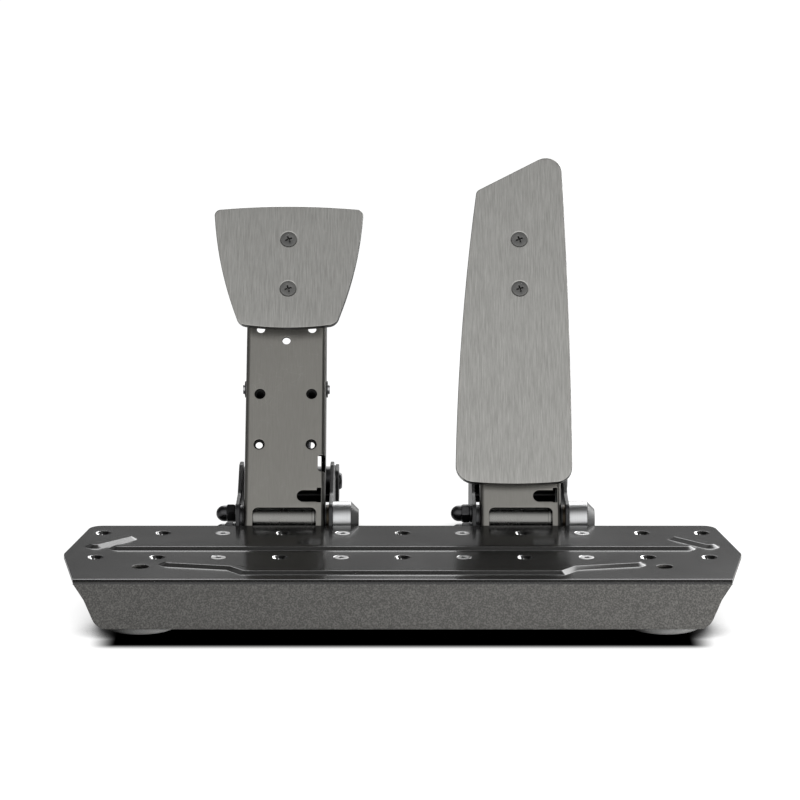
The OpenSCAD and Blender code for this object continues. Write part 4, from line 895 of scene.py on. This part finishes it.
class PEDALSET_OT_brackets(bpy.types.Operator):
    """Pedal brackets, lug plates, stop bars and their rubber bumpers"""

    bl_idname = "pedalset.brackets"
    bl_label = "Brackets"

    def execute(self, context):
        edge = context.scene.pedal_sheet.edge
        for side in SIDES:
            rolled(side + "_bracket", "bracket_coat", edge)
        rolled("lug_plates", "bracket_coat", edge)
        rolled("stop_bars", "grey_steel", 0.0003)
        rolled("rest_bumpers", "rubber", 0.0004)
        return {"FINISHED"}


class PEDALSET_OT_arms(bpy.types.Operator):
    """Pedal arms with sleeves, axles, magnets, washers, cross pins, spacers and clips"""

    bl_idname = "pedalset.arms"
    bl_label = "Arms"

    def execute(self, context):
        edge = context.scene.pedal_sheet.edge
        for side in SIDES:
            arm = rolled(side + "_arm", "arm_coat", edge)
            inverse = on_arm(side).inverted()
            # Painted shade inside, in the holes and on the flanks
            mark(arm, "dark", lambda centre, normal: self.painted_shade(
                inverse @ centre, inverse.to_3x3() @ normal))
            rolled(side + "_sleeve", "grey_steel", 0.0003)
            rolled(side + "_axle", "ground_steel", 0.0003)
            rolled(side + "_magnet", "ground_steel", 0.0002)
            rolled(side + "_thrust_washers", "case_plastic", 0.0)
            rolled(side + "_cross_pin", "ground_steel", 0.0004)
            rolled(side + "_pin_spacers", "case_plastic", 0.0003)
            rolled(side + "_clips", "black_oxide", 0.00015)
        return {"FINISHED"}

    def painted_shade(self, place, normal):
        """Painted shade: dark on the inside and the hole walls, less on the flanks, least on the
        left one.
        """
        if normal.x < -0.35 and place.x < -FLANK_X:
            return 0.25
        if normal.x > 0.35 and place.x > FLANK_X:
            return 0.7
        in_hole = any(math.hypot(place.x - x, place.z - z) < ARM_HOLE_RADIUS
                      for x in ARM_COLUMNS for z in ARM_HOLES)
        return in_hole or abs(normal.x) > 0.75 or place.y > ARM_INSIDE_Y and normal.z < 0.5


class PEDALSET_OT_pads(bpy.types.Operator):
    """Brushed pads and the mounts behind them"""

    bl_idname = "pedalset.pads"
    bl_label = "Pads"

    def execute(self, context):
        edge = context.scene.pedal_pads.edge
        for side in SIDES:
            pad = rolled(side + "_pad", side + "_aluminium", edge, segments=3)
            front = on_pad(side).to_3x3() @ Vector((0, -1, 0))
            # Painted shade: the edge walls go dark, the left-facing ones less; front and back
            # faces stay clean
            mark(pad, "dark", lambda centre, normal: (
                0 if abs(normal.dot(front)) > 0.35 else 0.3 if normal.x < -0.5 else 1))
            rolled(side + "_pad_mount", "grey_steel", 0.0004)
        return {"FINISHED"}


class PEDALSET_OT_struts(bpy.types.Operator):
    """Guide tubes, rods, preload nuts, stop rings and the wound return springs"""

    bl_idname = "pedalset.struts"
    bl_label = "Struts and springs"

    def execute(self, context):
        s = context.scene.pedal_springs
        tree = spring_tree()
        for side in SIDES:
            rolled(side + "_guide_tube", "black_oxide", 0.0003)
            rolled(side + "_stop_ring", "elastomer", 0.0004)
            rolled(side + "_rod", "ground_steel", 0.0003)
            rolled(side + "_preload_nut", "grey_steel", 0.0003)
            self.spring(side, tree, s)
        return {"FINISHED"}

    def spring(self, side, tree, s):
        scratch = piece(side + "_coil", bpy.data.meshes.new(side + "_coil"), "spring_steel")
        wind = scratch.modifiers.new("wound", "NODES")
        wind.node_group = tree
        set_inputs(wind, {
            "Coil radius": getattr(s, side + "_coil") / 2,
            "Wire radius": getattr(s, side + "_wire") / 2,
            "Curls": getattr(s, side + "_curls"), "Height": SPRING_HEIGHT,
            "Closed gap": s.closed_gap, "Steps per curl": 40,
            "Finish": FINISHES["spring_steel"]})
        scratch.update_tag()
        mesh = plain_mesh(scratch)
        bpy.data.objects.remove(scratch)
        if not mesh.polygons:
            raise RuntimeError(side + " spring came out empty")
        mesh.transform(on_strut(side) @ Matrix.Translation((0, 0, SPRING_SEAT)))
        shade(mesh, 50.0)
        obj = piece(side + "_spring_wound", mesh, "spring_steel")
        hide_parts(side + "_spring")
        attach(obj, side + "_tube")
        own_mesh(obj)


class PEDALSET_OT_heel_screws(bpy.types.Operator):
    """Countersunk screws in the heel plate and the flanged nuts below it"""

    bl_idname = "pedalset.heel_screws"
    bl_label = "Heel plate screws"

    def execute(self, context):
        s = context.scene.pedal_fasteners
        r = s.heel_head / 2
        mesh = stacked("heel_screw", [
            (-0.0107, 0.0021), (-0.0103, 0.0025), (-0.0020, 0.0025), (-0.00028, r),
            (-0.00008, r - 0.0001), (-0.00005, r - 0.0003), (-0.00005, 0.0017),
            (-0.0001, 0.0015, "hex"), (-0.0021, 0.0015, "hex"), (-0.0026, 0.0003)])
        places = [(x, ROW_Y - row * ROW_GAP, TREAD_Z) for x in SCREW_COLUMNS for row in (0, 1)]
        set_fasteners("heel_screw_set", mesh, places, (0, 0, 0), "screw_steel", "base",
                      ["heel_screws"], twist=1.0, seed=s.twist_seed)
        tall = 0.005
        nut = stacked("heel_nut", [
            (-tall + 0.0001, 0.0026), (-tall, 0.0028), (-tall, 0.0039, "hex", 0.0040),
            (-tall + 0.0005, 0.0040, "hex", 0.0045), (-0.0012, 0.0040, "hex"),
            (-0.0010, 0.0048), (-0.0007, 0.0052), (0.0, 0.0052), (0.0, 0.0026)])
        below = [(x, y, z - HEEL_NUT_DROP) for x, y, z in places]
        set_fasteners("heel_nut_set", nut, below, (0, 0, 0), "screw_steel", "base",
                      ["heel_nuts"], twist=1.0, seed=s.twist_seed + 1)
        return {"FINISHED"}


class PEDALSET_OT_dome_nuts(bpy.types.Operator):
    """Dome nuts, washers, flanges and bushes of the pivots' bearings"""

    bl_idname = "pedalset.dome_nuts"
    bl_label = "Dome nuts"

    def execute(self, context):
        s = context.scene.pedal_fasteners
        half, top, ball = s.dome_across_flats / 2, s.dome_height, 0.0047
        rings = [(0.0, half * 0.97), (0.0004, half, "hex", half * 1.10), (0.0010, half, "hex"),
                 (0.0040, half, "hex"), (0.0046, half, "hex", half * 1.10),
                 (0.0050, half * 0.97), (0.0051, ball)]
        rings += [(top - ball + ball * math.sin(a), ball * math.cos(a))
                  for a in [math.radians(10 * k) for k in range(9)]]
        mesh = stacked("dome_nut", rings)
        pitch, tilt, drop, washer = 0.0209, math.radians(17), 0.0016, 0.0012
        places = []
        for side in SIDES:
            x = SIDES[side] * PEDAL_X - CHEEK_OUT - washer
            for k in (-0.5, 0.5):
                places.append((x, PIVOT.y + k * pitch * math.cos(tilt),
                               PIVOT.z - drop + k * pitch * math.sin(tilt)))
        set_fasteners("dome_nut_set", mesh, places, (0, math.radians(-90), 0), "black_oxide",
                      "base", ["dome_nuts"], twist=0.9, seed=s.twist_seed)
        rolled("flange_washers", "black_oxide", 0.00025)
        rolled("bearing_flanges", "black_oxide", 0.0)
        # The bushes' bronze is painted nearly black, as painted shade in the gap at the pivot
        rolled("pivot_bushes", "sintered_bronze", 0.0)
        return {"FINISHED"}


class PEDALSET_OT_pad_screws(bpy.types.Operator):
    """Cross-recess screws of the pads and the bolts of the pad mounts"""

    bl_idname = "pedalset.pad_screws"
    bl_label = "Pad screws"

    def execute(self, context):
        s = context.scene.pedal_fasteners
        r = s.pad_head / 2
        for side in SIDES:
            mesh = stacked(side + "_pad_screw", [
                (-0.0092, 0.0021), (-0.0088, 0.0025), (-0.0025, 0.0025), (-0.0003, r),
                (-0.0001, r - 0.0001), (-0.00005, r - 0.0004), (-0.00005, 0.0026),
                (-0.0001, 0.0022, "cross"), (-0.0009, 0.0018, "cross"),
                (-0.0019, 0.0009, "cross")], 96)
            frame_of_pad = on_pad(side)
            places = [frame_of_pad @ Vector((0, 0, z)) for z in (0.0, PAD_SCREW_PITCH)]
            aim = (frame_of_pad.to_3x3() @ turn(90).to_3x3()).to_euler()
            set_fasteners(side + "_pad_screw_set", mesh, places, aim, "pad_screw_steel",
                          side + "_arm", [side + "_pad_screws"],
                          twist=0.5, seed=s.twist_seed + 3)
            bolt = stacked(side + "_mount_bolt", [
                (-0.0077, 0.0021), (-0.0073, 0.0025), (0.0, 0.0025), (0.0, 0.0041),
                (0.0002, 0.0043), (0.0025, 0.0043), (0.0030, 0.0038), (0.0030, 0.0022),
                (0.0029, 0.0020, "hex"), (0.0011, 0.0020, "hex")])
            leaned = on_arm(side)
            inner = [leaned @ Vector((x, MOUNT_BOLT_Y, z))
                     for x in ARM_COLUMNS for z in MOUNT_BOLTS]
            set_fasteners(side + "_mount_bolt_set", bolt, inner,
                          (leaned.to_3x3() @ turn(-90).to_3x3()).to_euler(), "black_oxide",
                          side + "_arm", [side + "_mount_bolts"],
                          twist=1.0, seed=s.twist_seed + 5)
        return {"FINISHED"}


class PEDALSET_OT_sensors(bpy.types.Operator):
    """Angle sensors: turned housings, bevelled caps, boards and screws; then other bolts"""

    bl_idname = "pedalset.sensors"
    bl_label = "Sensors"

    def execute(self, context):
        rolled("sensor_housings", "turned_aluminium", 0.0003)
        rolled("sensor_caps", "cap_plastic", 0.0003)
        rolled("sensor_boards", "circuit_board", 0.0)
        rolled("sensor_screws", "black_oxide", 0.0002)
        rolled("trunnion_bolts", "black_oxide", 0.0003)
        rolled("stop_screws", "black_oxide", 0.0002)
        return {"FINISHED"}


class PEDALSET_OT_control_box(bpy.types.Operator):
    """Control box under the heel plate with its lid, board and screws"""

    bl_idname = "pedalset.control_box"
    bl_label = "Control box"

    def execute(self, context):
        rolled("control_case", "case_plastic", 0.0004)
        rolled("control_lid", "case_plastic", 0.0003)
        rolled("control_board", "circuit_board", 0.0)
        rolled("control_screws", "black_oxide", 0.0002)
        return {"FINISHED"}


class PEDALSET_PT_panel(bpy.types.Panel):
    """Lists the set's settings and operators"""

    bl_label = "Pedal set"
    bl_idname = "PEDALSET_PT_panel"
    bl_space_type = "VIEW_3D"
    bl_region_type = "UI"
    bl_category = "Pedal set"

    def draw(self, context):
        for operator in OPERATORS:
            self.layout.operator(operator.bl_idname)
        for name in SETTINGS:
            settings = getattr(context.scene, name)
            box = self.layout.box()
            for key in settings.bl_rna.properties.keys():
                if key not in ("rna_type", "name"):
                    box.prop(settings, key)


SETTINGS = {
    "pedal_stage": StageSettings, "pedal_sheet": SheetSettings, "pedal_pads": PadSettings,
    "pedal_fasteners": FastenerSettings, "pedal_springs": SpringSettings,
}
OPERATORS = (
    PEDALSET_OT_stage, PEDALSET_OT_finishes, PEDALSET_OT_heel_plate, PEDALSET_OT_brackets,
    PEDALSET_OT_arms, PEDALSET_OT_pads, PEDALSET_OT_struts, PEDALSET_OT_heel_screws,
    PEDALSET_OT_dome_nuts, PEDALSET_OT_pad_screws, PEDALSET_OT_sensors,
    PEDALSET_OT_control_box,
)


def register():
    for cls in (*SETTINGS.values(), *OPERATORS, PEDALSET_PT_panel):
        bpy.utils.register_class(cls)
    for name, cls in SETTINGS.items():
        setattr(bpy.types.Scene, name, PointerProperty(type=cls))


def unregister():
    for name in SETTINGS:
        delattr(bpy.types.Scene, name)
    for cls in reversed((*SETTINGS.values(), *OPERATORS, PEDALSET_PT_panel)):
        bpy.utils.unregister_class(cls)


def main():
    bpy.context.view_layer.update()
    register()
    for operator in OPERATORS:
        group, name = operator.bl_idname.split(".")
        getattr(getattr(bpy.ops, group), name)()


if __name__ == "__main__":
    main()
